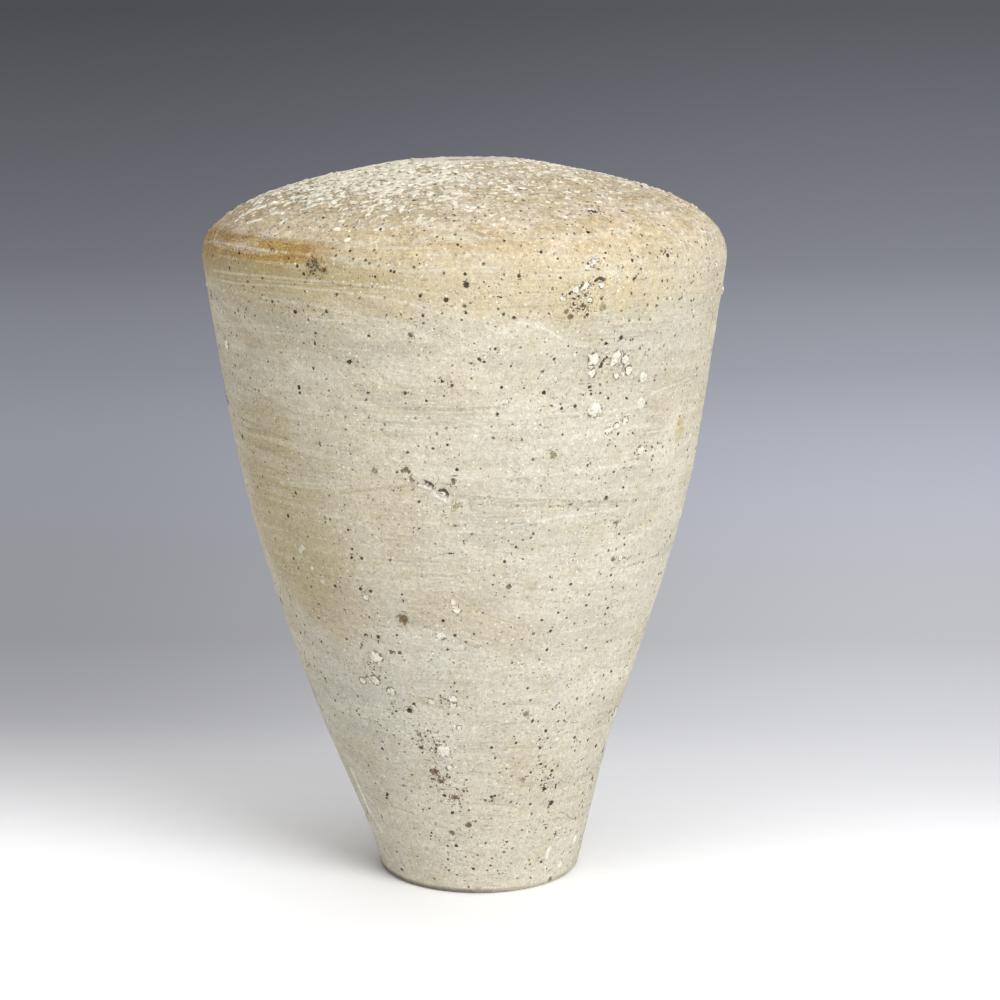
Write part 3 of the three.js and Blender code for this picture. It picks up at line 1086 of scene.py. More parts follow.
def flake_tree():
    """Scatters flat, ragged flakes of ash on a mesh."""
    tree = node_tree("ash_flakes", {"Density": "Float", "Size": "Float", "Seed": "Int", "Ash": "Material"})
    w = Shaping(tree)
    given = w.add("NodeGroupInput").outputs
    density = w.times(flake_share(w), given["Density"])
    inputs = {"Mesh": given["Geometry"], "Density": density, "Seed": given["Seed"]}
    spread = w.add("GeometryNodeDistributePointsOnFaces", inputs, distribute_method="RANDOM").outputs
    chance = w.split(w.random_vector((0.0, 0.0, 0.0), (1.0, 1.0, 1.0), 4))["X"]
    large = w.plus(w.times(w.math("POWER", chance, 1.5), 0.7), 0.3)
    size = w.scaled(w.random_vector((0.6, 0.35, 0.08), (1.0, 0.65, 0.15), 5), w.times(large, given["Size"]))
    flakes = w.lumps(spread["Points"], flake_turn(w, spread["Normal"]), size)
    notches = w.add("ShaderNodeTexNoise", {"Vector": w.place(), "Scale": FLAKE_NOTCHES}).outputs["Color"]
    ragged = w.scaled(w.vector("SUBTRACT", notches, (0.5, 0.5, 0.5)), w.times(given["Size"], 0.5))
    w.finish(w.smoothed(w.moved(flakes, ragged)), given["Ash"])
    return tree


# Profiles of the sections, from the axis or the inner corner round the outside and back


def profile(name, *runs, closed=False):
    """A line of edges for a section's profile. Each run is its points and its share of the relief."""
    places = np.vstack([points for points, _ in runs])
    skin = np.concatenate([np.broadcast_to(share, len(points)) for points, share in runs])
    slopes = np.vstack([np.gradient(points, axis=0) for points, _ in runs])
    slopes /= np.hypot(slopes[:, 0], slopes[:, 1])[:, None]
    outward = np.column_stack([slopes[:, 1], np.zeros(len(slopes)), -slopes[:, 0]])
    if closed:
        places = np.vstack([places, places[:1]])
        skin = np.append(skin, skin[0])
        outward = np.vstack([outward, outward[:1]])
    mesh = bpy.data.meshes.new(name)
    mesh.from_pydata([(r, 0, z) for r, z in places], [(i, i + 1) for i in range(len(places) - 1)], [])
    carry(mesh, "skin", "FLOAT", skin)
    carry(mesh, "outward", "FLOAT_VECTOR", outward.ravel())
    return mesh


def lower_profile():
    bearing = np.linspace((0, 0), (FOOT_RADIUS - FOOT_EDGE, 0), 7)
    turn = np.linspace(0, math.pi / 2, 6)[1:-1]
    reach = float(wall_radius(FOOT_EDGE)) - FOOT_RADIUS + FOOT_EDGE
    edge = np.column_stack([FOOT_RADIUS - FOOT_EDGE + reach * np.sin(turn), FOOT_EDGE * (1 - np.cos(turn))])
    wall = wall_run(FOOT_EDGE, SEAM_LEVEL, LOWER_STEP)
    inside = wall_run(SEAM_LEVEL, FLOOR + FLOOR_CORNER, INNER_STEP, WALL)
    corner = np.linspace(inside[-1], (inside[-1][0] - FLOOR_SPREAD, FLOOR), 3)[1:]
    middle = np.linspace(corner[-1], (0, FLOOR), 3)[1:]
    hollow = np.vstack([inside, corner, middle])
    return profile("lower_body", (bearing, 0.0), (edge, 0.3), (wall, 1.0), (hollow, 0.0))


def upper_profile():
    wall = wall_run(SEAM_LEVEL, SHOULDER_LEVEL, UPPER_STEP)
    inside = wall_run(SHOULDER_LEVEL, SEAM_LEVEL, INNER_STEP, WALL)
    return profile("upper_body", (wall, 1.0), (inside, 0.0), closed=True)


def dome_profile():
    ceiling = CROWN_LEVEL - CROWN_THICKNESS
    back = evenly(dome_outside(400), DOME_STEP)
    bed = np.linspace((RING_RADIUS - BED_INSET, CROWN_LEVEL), (mouth_radius(CROWN_LEVEL), CROWN_LEVEL), 4)
    throat = np.linspace(bed[-1], (mouth_radius(ceiling), ceiling), 4)[1:]
    hollow = bezier(
        (mouth_radius(ceiling), ceiling),
        (mouth_radius(ceiling) + HOLLOW_SPREAD, ceiling),
        (SHOULDER_RADIUS - WALL + SHOULDER_FLARE * HOLLOW_TURN, SHOULDER_LEVEL + HOLLOW_TURN),
        (SHOULDER_RADIUS - WALL, SHOULDER_LEVEL),
        10,
    )[1:]
    return profile("shoulder_dome", (back, 1.0), (bed, 0.0), (throat, 0.0), (hollow, 0.0), closed=True)


def ring_profile():
    lip = MOUTH_RADIUS + PUTTY_WIDTH
    bevel = LIP_LEVEL - PUTTY_DEPTH
    foot = CROWN_LEVEL + LUTING_RISE
    span = RING_RADIUS - lip
    top = bezier(
        (RING_RADIUS, foot),
        (RING_RADIUS - span / 3, foot + LUTING_SLOPE * span / 3),
        (lip + span / 3, LIP_LEVEL - LIP_SLOPE * span / 3),
        (lip, LIP_LEVEL),
        60,
    )
    top = evenly(top, RING_STEP)
    skin = np.clip((top[:, 0] - lip) / LIP_FADE, LIP_RELIEF, 1)
    edge = np.array([(RING_RADIUS, CROWN_LEVEL), (RING_RADIUS, (CROWN_LEVEL + foot) / 2)])
    throat = np.array([(mouth_radius(bevel), bevel), (mouth_radius(CROWN_LEVEL), CROWN_LEVEL)])
    return profile("mouth_ring", (edge, 0.0), (top, skin), (throat, 0.0), closed=True)


def plug_profile():
    bottom = PLUG_RADIUS - (PLUG_TOP - PLUG_FOOT) * MOUTH_TAPER
    under = np.linspace((0, PLUG_FOOT), (bottom - PLUG_EDGE, PLUG_FOOT), 6)
    eased = (bottom + PLUG_EDGE * MOUTH_TAPER, PLUG_FOOT + PLUG_EDGE)
    side = evenly(np.array([eased, (PLUG_RADIUS, PLUG_TOP)]), PLUG_STEP)
    top = np.linspace((PLUG_RADIUS - PLUG_RIM, PLUG_TOP), (0, PLUG_TOP), 24)
    return profile("mouth_plug", (under, 0.3), (side, 0.4), (top, 1.0))


def putty_profile():
    inner = PLUG_RADIUS + PUTTY_GAP
    crest = LIP_LEVEL + PUTTY_CREST
    smear = PUTTY_RADIUS + PUTTY_SMEAR
    seat = (PUTTY_RADIUS, LIP_LEVEL - PUTTY_SEAT)
    under = np.array([(inner, PUTTY_FOOT), (inner + PUTTY_FLAT, PUTTY_FOOT), seat])
    edge = (smear, LIP_LEVEL - PUTTY_EDGE)
    top = bezier(edge, (smear - PUTTY_ROUND, crest), (inner + MM, crest), (inner, PLUG_TOP), 40)
    return profile("plug_putty", (under, 0.0), (evenly(top, PUTTY_STEP), 1.0), closed=True)


# Materials, in which w is the wiring and f the patterns that the layers of the clay share


def material(name):
    made = bpy.data.materials.new(name)
    made.use_nodes = True
    made.node_tree.nodes.clear()
    return made, Wiring(made.node_tree)


def in_millimetres(w):
    return w.scaled(w.add("ShaderNodeTexCoord").outputs["Object"], 1 / MM)


def surface(w, inputs):
    shader = w.add("ShaderNodeBsdfPrincipled", inputs)
    w.add("ShaderNodeOutputMaterial", {"Surface": shader.outputs[0]})


# Colours of the clay, the flash, the dome, the ash and the iron, then of the wood and the putty
GREY_CLAY = colour(0.65, 0.615, 0.515)
BUFF_CLAY = colour(0.7, 0.63, 0.48)
COOL_CLAY = colour(0.635, 0.572, 0.432)
PALE_CLAY = colour(0.78, 0.735, 0.61)
# Darker clay in the sweeps, and the colour of the painted shade patches on the walls
DARK_CLAY_AND_PAINTED_SHADE = colour(0.56, 0.53, 0.44)
TAN_CLAY = colour(0.535, 0.412, 0.24)
OCHRE_CLAY = colour(0.58, 0.5, 0.31)
OLIVE_CLAY = colour(0.45, 0.41, 0.28)
FLASH_GOLD = colour(0.68, 0.545, 0.33)
FLASH_OLIVE = colour(0.5, 0.4, 0.165)
FLASH_ORANGE = colour(0.55, 0.34, 0.09)
FLASH_DARK = colour(0.36, 0.215, 0.075)
DOME_PINK = colour(0.72, 0.6, 0.455)
DOME_OCHRE = colour(0.585, 0.465, 0.28)
DOME_RUST = colour(0.47, 0.33, 0.19)
ASH_WHITE = colour(0.98, 0.935, 0.8)
ASH_CREAM = colour(0.82, 0.75, 0.58)
ASH_GAP_TONE_AND_SHADOW = colour(0.38, 0.32, 0.2)
IRON_BLACK = colour(0.06, 0.048, 0.034)
IRON_BROWN = colour(0.22, 0.15, 0.075)
CRACK_BROWN = colour(0.12, 0.09, 0.06)
FLAKE_CREAM = colour(0.82, 0.76, 0.6)
FLAKE_WHITE = colour(0.97, 0.93, 0.8)
WOOD_DARK = colour(0.15, 0.095, 0.05)
WOOD_PALE = colour(0.36, 0.255, 0.145)
WOOD_PORES = colour(0.08, 0.055, 0.03)
WOOD_DUST = colour(0.6, 0.54, 0.43)
PUTTY_DULL = colour(0.62, 0.56, 0.45)
PUTTY_PALE = colour(0.84, 0.8, 0.7)
PUTTY_DIRT = colour(0.52, 0.45, 0.34)

# The sides that the fire and its ash reached, coloured orange, browned and turned golden
FLASH_SIDE = (-0.84, -0.54, 0.0)
ORANGE_SIDE = (-0.93, -0.37, 0.0)
BROWN_SIDE = (-1.0, 0.0, 0.0)
GOLD_SIDE = (0.0, -1.0, 0.0)

# The side where most iron came through the skin
SPOTTED_SIDE = (0.8, -0.6, 0.0)

# Levels in millimetres over which the dome's clay, the ash on it and the darker gaps in the ash, which are
# partly painted shadow, set in, and how far from the middle of the mouth the ash does
DOME_START = (214.0, 226.0)
ASH_START = (222.0, 226.0)
GAP_SHADOW_START = (226.0, 234.0)
MOUTH_CLEAR = (12.5, 15.0)

# Levels in millimetres at which a band of colour or of specks starts, is full, fades and ends
COOL_BAND = (150.0, 175.0, 200.0, 212.0)
GOLD_BAND = (197.0, 206.0, 222.0, 233.0)
OLIVE_BAND = (205.0, 212.0, 217.0, 220.0)
ORANGE_BAND = (214.0, 218.5, 222.6, 225.0)
STREAK_BAND = (217.5, 219.5, 222.6, 224.4)
BROWN_BAND = (206.0, 212.0, 235.0, 242.0)
GLINT_BAND = (212.0, 216.0, 224.0, 230.0)
SPECKLED_BAND = (196.0, 206.0, 235.0, 243.0)

# Specks in the clay, in millimetres: how far apart they lie, and their least and greatest radius
IRON_SPECKS = (3.0, 0.27, 0.52)
DOME_SPECKS = (2.3, 0.2, 0.45)
IRON_DUST = (1.4, 0.15, 0.35)
IRON_STAINS = (2.4, 0.32, 0.68)
PALE_SPECKS = (1.7, 0.16, 0.36)

# Soft patches of another tone, two of which are painted shade: column, row, radius in millimetres, tone and
# strength. Noise warps their outlines by up to half of the warp's length each way.
PATCH_WARP = 16.0
SOFT_PATCHES = {
    "tan_left_high": (272, 470, 26.0, TAN_CLAY, 0.78),
    "tan_left": (292, 545, 34.0, TAN_CLAY, 0.78),
    "tan_left_low": (330, 600, 24.0, TAN_CLAY, 0.45),
    "tan_middle": (395, 522, 15.0, TAN_CLAY, 0.4),
    "olive_shoulder": (285, 284, 24.0, OLIVE_CLAY, 0.45),
    "olive_left": (330, 350, 15.0, OLIVE_CLAY, 0.25),
    "tan_under_crust": (578, 303, 14.0, TAN_CLAY, 0.45),
    "flash_core": (262, 248, 22.0, FLASH_DARK, 0.4),
    "tan_right": (668, 388, 15.0, TAN_CLAY, 0.4),
    "tan_right_crust": (606, 368, 13.0, TAN_CLAY, 0.4),
    "tan_over_crust": (592, 338, 8.0, TAN_CLAY, 0.5),
    "pale_middle": (565, 440, 30.0, PALE_CLAY, 0.35),
    "pale_crust": (596, 266, 9.0, PALE_CLAY, 0.55),
    "grey_low": (420, 700, 34.0, GREY_CLAY, 0.4),
    # Painted shade, darkening the lit upper right and the middle of the wall
    "painted_shade_upper_right": (655, 325, 46.0, DARK_CLAY_AND_PAINTED_SHADE, 0.6),
    "painted_shade_middle": (520, 480, 48.0, DARK_CLAY_AND_PAINTED_SHADE, 0.4),
    "pale_foot": (564, 848, 14.0, PALE_CLAY, 0.6),
    "ochre_left": (286, 505, 42.0, OCHRE_CLAY, 0.66),
    "ochre_right_edge": (679, 434, 5.5, FLASH_OLIVE, 0.9),
    "pale_right_low": (592, 690, 34.0, PALE_CLAY, 0.3),
    "pale_foot_left": (404, 815, 16.0, PALE_CLAY, 0.4),
    "ochre_left_low": (262, 445, 24.0, OCHRE_CLAY, 0.45),
}


def clay_fields(w):
    """The patterns that the layers of the clay share, from its broad tones down to its sand."""
    place = in_millimetres(w)
    at = w.split(place)
    cloud = w.noise(place, 20, 3.0)
    lines = w.noise(w.stretched(place, 0.03, 0.45), 1.0, 3.0, 0.55, 0.4)
    hairs = w.noise(w.stretched(place, 0.02, 1.1), 1.0, 1.0, 0.5, 0.8)
    slanted = w.vector("ADD", place, w.join(0.0, 0.0, w.times(at["X"], 0.22)))
    sand = w.add("ShaderNodeTexVoronoi", {"Vector": place, "Scale": 1.0 / 0.6}).outputs["Color"]
    level = w.plus(at["Z"], w.times(w.plus(cloud, -0.5), 12.0), w.times(w.plus(lines, -0.5), 6.0))
    return SimpleNamespace(
        place=place,
        at=at,
        cloud=cloud,
        lines=lines,
        level=level,
        broad=w.noise(place, 80, 2.0),
        patch=w.noise(w.vector("ADD", place, (40.0, 17.0, 90.0)), 60, 2.0),
        blotch=w.noise(w.vector("ADD", place, (70.0, 5.0, 20.0)), 7.5, 3.0, 0.55),
        mottle=w.noise(place, 1.9, 3.0, 0.6),
        grain=w.noise(place, 0.5, 2.0, 0.7),
        sand=w.split(sand)["X"],
        bands=w.noise(w.stretched(place, 0.012, 0.12), 1.0, 2.0, 0.5, 0.6),
        hair=w.times(w.band(hairs, 0.47, 0.495, 0.505, 0.53), w.ramp(cloud, 0.46, 0.62)),
        sweep=w.noise(w.stretched(slanted, 0.022, 0.075), 1.0, 3.0, 0.55, 1.2),
        domed=w.ramp(level, *DOME_START),
        flashed=w.ramp(w.facing(place, FLASH_SIDE), 0.55, 0.92),
    )


def wall_clay(w, f):
    """The clay of the walls, grey to buff, in sweeps, patches and throwing lines, two of the patches being
    painted shade.
    """
    warm = w.plus(w.ramp(f.broad, 0.35, 0.65, 0.0, 0.6), w.ramp(f.at["Z"], 60.0, 160.0, 0.0, 0.4))
    clay = w.blend(warm, GREY_CLAY, BUFF_CLAY)
    clay = w.blend(w.times(w.band(f.level, *COOL_BAND), 0.5), clay, COOL_CLAY)
    clay = w.blend(w.times(w.ramp(f.patch, 0.52, 0.7), 0.4), clay, TAN_CLAY)
    clay = w.blend(w.ramp(f.sweep, 0.5, 0.64, 0.0, 0.5), clay, DARK_CLAY_AND_PAINTED_SHADE)
    clay = w.blend(w.ramp(f.sweep, 0.49, 0.38, 0.0, 0.4), clay, PALE_CLAY)
    warped = w.vector("ADD", f.place, w.scaled(w.join(f.cloud, f.patch, f.cloud), PATCH_WARP))
    for column, row, radius, tone, strength in SOFT_PATCHES.values():
        centre = seen_at(column, row) / MM + Vector((PATCH_WARP, PATCH_WARP, PATCH_WARP)) / 2
        near = w.ramp(w.measure("DISTANCE", warped, centre), radius, radius * 0.25)
        clay = w.blend(w.times(near, strength), clay, tone)
    clay = w.blend(w.times(w.ramp(f.bands, 0.5, 0.66), 0.2), clay, PALE_CLAY)
    clay = w.blend(w.ramp(f.at["Z"], 40.0, 5.0, 0.0, 0.5), clay, PALE_CLAY)
    lined = w.ramp(f.at["Z"], 80.0, 150.0, 0.3, 1.0)
    ridges = w.times(w.ramp(f.lines, 0.52, 0.62), w.ramp(f.patch, 0.35, 0.55, 0.1, 0.36), lined)
    clay = w.blend(ridges, clay, PALE_CLAY)
    grooves = w.times(w.ramp(f.lines, 0.44, 0.32), w.ramp(f.cloud, 0.4, 0.6, 0.1, 0.32), lined)
    clay = w.blend(grooves, clay, OLIVE_CLAY)
    clay = w.blend(w.times(w.ramp(f.blotch, 0.52, 0.68), 0.3), clay, OCHRE_CLAY)
    return w.blend(w.times(f.hair, 0.25), clay, ASH_WHITE)


def dome_clay(w, f, clay):
    """The dome's pinkish clay, turned in rings, and the golden band below it."""
    dome = w.blend(w.ramp(f.blotch, 0.4, 0.62), DOME_PINK, DOME_OCHRE)
    from_axis = w.measure("LENGTH", w.stretched(f.place, 1.0, 0.0))
    wheel = w.join(w.times(f.at["X"], 0.05), w.times(f.at["Y"], 0.05), w.times(from_axis, 0.5))
    turned = w.noise(wheel, 1.0, 3.0, 0.6)
    dome = w.blend(w.ramp(turned, 0.52, 0.66, 0.0, 0.6), dome, DOME_RUST)
    dome = w.blend(w.ramp(turned, 0.46, 0.34, 0.0, 0.5), dome, PALE_CLAY)
    clay = w.blend(w.times(f.domed, 0.9), clay, dome)
    fronted = w.ramp(w.facing(f.place, GOLD_SIDE), 0.3, 0.9, 0.25, 1.0)
    gold = w.times(w.band(f.level, *GOLD_BAND), fronted, w.ramp(f.blotch, 0.3, 0.6, 0.5, 1.0))
    return w.blend(w.times(gold, 0.7), clay, FLASH_GOLD)


def fire_flash(w, f, clay):
    """The colours that the fire left round the shoulder. Also gives where it is orange."""
    drifted = w.plus(f.cloud, -0.5)
    rim = w.plus(f.at["Z"], w.times(drifted, 3.0), w.times(w.plus(f.lines, -0.5), 3.0))
    oranged = w.ramp(w.plus(w.facing(f.place, ORANGE_SIDE), w.times(drifted, 0.2)), 0.76, 0.92)
    gilded = w.times(w.band(rim, *OLIVE_BAND), f.flashed)
    clay = w.blend(w.times(gilded, 0.6), clay, FLASH_OLIVE)
    orange = w.times(w.band(rim, *ORANGE_BAND), oranged)
    clay = w.blend(w.times(orange, 0.85), clay, FLASH_ORANGE)
    streak = w.times(w.ramp(f.lines, 0.54, 0.4), w.band(rim, *STREAK_BAND), oranged)
    clay = w.blend(w.times(streak, 0.75), clay, FLASH_DARK)
    edged = w.ramp(w.facing(f.place, BROWN_SIDE), 0.7, 0.95)
    browned = w.times(edged, w.band(rim, *BROWN_BAND), w.ramp(f.blotch, 0.35, 0.6, 0.4, 1.0))
    clay = w.blend(w.times(browned, 0.6), clay, DOME_RUST)
    glint = w.times(w.ramp(f.lines, 0.53, 0.6), w.band(rim, *GLINT_BAND))
    return w.blend(w.times(glint, 0.35), clay, PALE_CLAY), orange


def fallen_ash(w, f, clay):
    """The ash that fell on the dome, outside the mouth, edged with darker clay and painted shadow. Also
    gives where it lies.
    """
    ashed = w.attribute("ash")["Fac"]
    ashed = w.plus(ashed, w.times(w.centred(f.place, 0.9, 2.0, 0.6), 0.2))
    aside = w.plus(f.at["X"], -axis_drift(LIP_LEVEL) / MM)
    from_mouth = w.measure("LENGTH", w.join(aside, f.at["Y"], 0.0))
    fallen = w.times(w.ramp(from_mouth, *MOUTH_CLEAR), w.ramp(f.at["Z"], *ASH_START))
    flecks = w.times(w.ramp(ashed, 0.5, 0.53), fallen)
    # Darker clay and painted shadow along the edges of the ash, most on the flashed side
    gap_tone_and_shadow = w.times(w.band(ashed, 0.4, 0.46, 0.48, 0.5), w.ramp(f.at["Z"], *GAP_SHADOW_START), fallen)
    gap_tone_and_shadow = w.times(gap_tone_and_shadow, w.plus(w.times(f.flashed, 0.5), 0.3))
    clay = w.blend(gap_tone_and_shadow, clay, ASH_GAP_TONE_AND_SHADOW)
    return w.blend(w.times(flecks, 0.95), clay, w.blend(f.mottle, ASH_CREAM, ASH_WHITE)), flecks


def iron_specks(w, f, clay):
    """Specks of iron, its dust and stains, and pale grit. Also gives where the iron lies."""
    clustered = w.ramp(w.noise(f.place, 14.0, 2.0), 0.36, 0.6, 0.35, 0.95)
    jitter = w.add("ShaderNodeTexNoise", {"Vector": f.place, "Scale": 1.1, "Detail": 1.0}).outputs["Color"]
    ragged = w.vector("ADD", f.place, w.scaled(w.vector("SUBTRACT", jitter, (0.5, 0.5, 0.5)), 0.9))
    iron = w.blend(w.ramp(w.noise(f.place, 5.0, 1.0), 0.42, 0.62), IRON_BLACK, IRON_BROWN)
    dust = w.grains(ragged, *IRON_DUST, w.times(clustered, 0.75))
    spotted = w.ramp(w.facing(f.place, SPOTTED_SIDE), 0.3, 0.95, 0.0, 0.6)
    peppered = w.plus(clustered, spotted, w.band(f.at["Z"], *SPECKLED_BAND), -0.22)
    specks = w.grains(ragged, *IRON_SPECKS, peppered)
    on_dome = w.vector("ADD", ragged, (11.0, 23.0, 5.0))
    specks = w.math("MAXIMUM", specks, w.grains(on_dome, *DOME_SPECKS, w.times(f.domed, 0.75)))
    pale = w.grains(w.vector("ADD", ragged, (31.0, 7.0, 13.0)), *PALE_SPECKS, clustered)
    stains = w.grains(w.vector("ADD", ragged, (5.0, 41.0, 27.0)), *IRON_STAINS, w.times(clustered, 0.7))
    clay = w.blend(w.times(pale, 0.7), clay, ASH_WHITE)
    clay = w.blend(w.times(stains, 0.24), clay, IRON_BROWN)
    clay = w.blend(w.times(dust, 0.52), clay, iron)
    return w.blend(w.times(specks, 0.85), clay, iron), specks


def placed_marks(w, f, clay):
    """The marks that the node tree noted on the mesh. Also gives where the clay cracked at them."""
    tint = w.attribute("mark_tint")
    offset = w.attribute("mark_offset")["Vector"]
    crack = w.attribute("mark_crack")["Fac"]
    torn = w.plus(w.times(w.centred(f.place, 1.5, 1.0), 0.9), w.times(w.centred(f.place, 0.5, 1.0), 0.6))
    torn = w.times(torn, w.attribute("mark_ragged")["Fac"])
    reach = w.plus(w.measure("LENGTH", offset), torn)
    mark = w.ramp(reach, 0.72, 1.0, 1.0, 0.0)
    inner = w.noise(f.place, 0.8, 3.0, 0.7)
    chalky = w.ramp(w.add("ShaderNodeRGBToBW", {0: tint["Color"]}).outputs[0], 0.3, 0.6)
    dull = w.plus(w.times(chalky, 0.56), 0.3)
    bright = w.plus(w.times(chalky, -0.5), 1.6)
    tone = w.blend(1.0, tint["Color"], w.grey(w.ramp(inner, 0.38, 0.62, dull, bright)), "MULTIPLY")
    border = w.times(w.band(reach, 0.7, 0.9, 1.0, 1.2), w.ramp(w.noise(f.place, 1.3, 1.0), 0.42, 0.58))
    cleft = w.times(mark, w.ramp(inner, 0.37, 0.32))
    cracked = w.times(w.math("MAXIMUM", border, cleft), crack)
    clay = w.blend(w.times(mark, tint["Alpha"]), clay, tone)
    return w.blend(w.times(cracked, 0.85), clay, CRACK_BROWN), cracked


def stoneware():
    """Dry grey-buff clay, flashed at the shoulder, ashed on the dome, with iron specks and marks, and
    painted shade in wall patches, at the edges of the ash, in tears and along the foot's bottom edge.
    """
    made, w = material("stoneware")
    f = clay_fields(w)
    clay = dome_clay(w, f, wall_clay(w, f))
    clay, orange = fire_flash(w, f, clay)
    clay, flecks = fallen_ash(w, f, clay)
    clay, specks = iron_specks(w, f, clay)
    clay, cracked = placed_marks(w, f, clay)
    # Painted contact shadow: the clay darkened along the bottom of the foot, most on the left
    painted_contact_shadow = w.times(w.ramp(f.at["Z"], 2.6, 0.9), w.ramp(f.at["X"], 24.0, -8.0, 0.25, 1.0))
    clay = w.blend(w.times(painted_contact_shadow, 0.75), clay, CRACK_BROWN)
    shade = w.times(
        w.ramp(f.grain, 0.2, 0.8, 0.82, 1.15),
        w.ramp(f.sand, 0.0, 1.0, 0.93, 1.06),
        w.ramp(f.mottle, 0.25, 0.75, 0.91, 1.08),
        w.ramp(w.times(f.domed, w.plus(f.mottle, -0.5)), -0.25, 0.25, 0.85, 1.15),
        w.ramp(w.times(orange, w.plus(f.grain, -0.5)), -0.25, 0.25, 0.75, 1.25),
    )
    clay = w.blend(1.0, clay, w.grey(shade), "MULTIPLY")
    bump = w.bump(
        0.85,
        w.times(f.grain, 0.22),
        w.times(f.sand, 0.05),
        w.times(f.mottle, 0.42),
        w.times(f.lines, 0.38),
        w.times(f.bands, 0.7),
        w.times(f.sweep, 1.2),
        w.ramp(f.sweep, 0.5, 0.53, 0.0, 0.12),
        w.times(f.hair, 0.1),
        w.times(flecks, 0.25),
        w.times(specks, -0.3),
        w.times(cracked, -0.3),
    )
    roughness = w.plus(w.ramp(f.grain, 0.2, 0.8, 0.84, 0.97), w.times(flecks, -0.3))
    surface(w, {"Base Color": clay, "Roughness": roughness, "Specular IOR Level": 0.18, "Normal": bump})
    return made


def grit():
    """Fused sand, in the tint that each grain carries."""
    made, w = material("crust_grit")
    grain = w.noise(in_millimetres(w), 0.35, 2.0, 0.6)
    tint = w.attribute("grit_tint")["Color"]
    tone = w.blend(1.0, tint, w.grey(w.ramp(grain, 0.3, 0.7, 0.7, 1.15)), "MULTIPLY")
    surface(w, {"Base Color": tone, "Roughness": 0.8, "Specular IOR Level": 0.3})
    return made


def ash():
    """Half-melted flakes of wood ash."""
    made, w = material("kiln_ash")
    tone = w.blend(w.noise(in_millimetres(w), 0.8, 2.0, 0.6), FLAKE_CREAM, FLAKE_WHITE)
    surface(w, {"Base Color": tone, "Roughness": 0.6, "Specular IOR Level": 0.35})
    return made


def plug_wood():
    """Old softwood seen on its end grain, dark with handling."""
    made, w = material("plug_wood")
    place = in_millimetres(w)
    years = w.noise(w.vector("MULTIPLY", place, (1.0, 0.06, 0.06)), 1.1, 2.0, 0.5, 0.6)
    pores = w.noise(w.stretched(place, 1.0, 0.2), 0.35, 2.0, 0.7)
    tone = w.blend(w.ramp(years, 0.35, 0.65), WOOD_DARK, WOOD_PALE)
    tone = w.blend(w.ramp(pores, 0.55, 0.75, 0.0, 0.5), tone, WOOD_PORES)
    tone = w.blend(w.ramp(w.noise(place, 3.0, 3.0, 0.6), 0.45, 0.65, 0.1, 0.6), tone, WOOD_DUST)
    bump = w.bump(0.7, w.times(years, 0.3), w.times(pores, 0.2))
    surface(w, {"Base Color": tone, "Roughness": 0.85, "Specular IOR Level": 0.3, "Normal": bump})
    return made


def lime_putty():
    """Dry lime putty, thumbed down round the plug and greyed with dust."""
    made, w = material("lime_putty")
    place = in_millimetres(w)
    grain = w.noise(place, 0.7, 3.0, 0.6)
    dirt = w.noise(place, 4.0, 3.0, 0.6)
    tone = w.blend(grain, PUTTY_DULL, PUTTY_PALE)
    tone = w.blend(w.ramp(dirt, 0.46, 0.66, 0.0, 0.6), tone, PUTTY_DIRT)
    bump = w.bump(0.7, w.times(grain, 0.25), w.times(dirt, 0.4))
    surface(w, {"Base Color": tone, "Roughness": 0.95, "Specular IOR Level": 0.2, "Normal": bump})
    return made


# Stage and light

# The sheet of paper: how far it runs forward and back, its bend into a wall, its height and half its width
PAPER_FRONT = -12.0
PAPER_BACK = 2.2
PAPER_BEND = 0.5
PAPER_HEIGHT = 2.4
PAPER_REACH = 6.0

# Painted shade of the paper: the greys that it glows with for the camera, for its distance behind the jar,
# in metres
PAPER_SHADE_TONES = [
    (-0.06, 1.1),
    (0.04, 0.92),
    (0.09, 0.7),
    (0.16, 0.6),
    (0.23, 0.535),
    (0.31, 0.47),
    (0.64, 0.45),
    (0.9, 0.41),
    (1.27, 0.33),
    (2.1, 0.245),
    (2.67, 0.18),
    (3.36, 0.098),
]

# How far behind the jar the floor darkens with painted shade, the paper's painted side shade and light and
# its tints set in, and its painted grey takes over
FLOOR_SHADE_FALL = (-0.05, 0.08)
SIDE_SHADE_FALL = (-0.05, 0.22)
DEEP_FALL = (0.3, 1.4)
TINT_FALL = (0.3, 0.8)
PAINTED_GLOW_FALL = (-0.01, 0.19)

# The slope from the camera to each edge of the paper, how much darker (painted shade, on the left) or
# brighter (painted light, on the right) it is there, near and far, and the tints of its grey
PAPER_SLOPE = 0.22
PAPER_LEFT_SHADE = (0.665, 0.79)
PAPER_RIGHT_LIGHT = (1.16, 1.1)
PAPER_NEAR_TINT = colour(0.985, 0.99, 1.05)
PAPER_FAR_TINT = colour(0.965, 0.99, 1.14)

# The floor as the camera sees it, in front of the jar and behind it, where it darkens with painted shade,
# and as it lights the jar
FLOOR_NEAR = colour(1.33, 1.33, 1.35)
FLOOR_FAR_SHADED = colour(0.96, 0.96, 0.975)
FLOOR_PLAIN = colour(0.92, 0.92, 0.92)


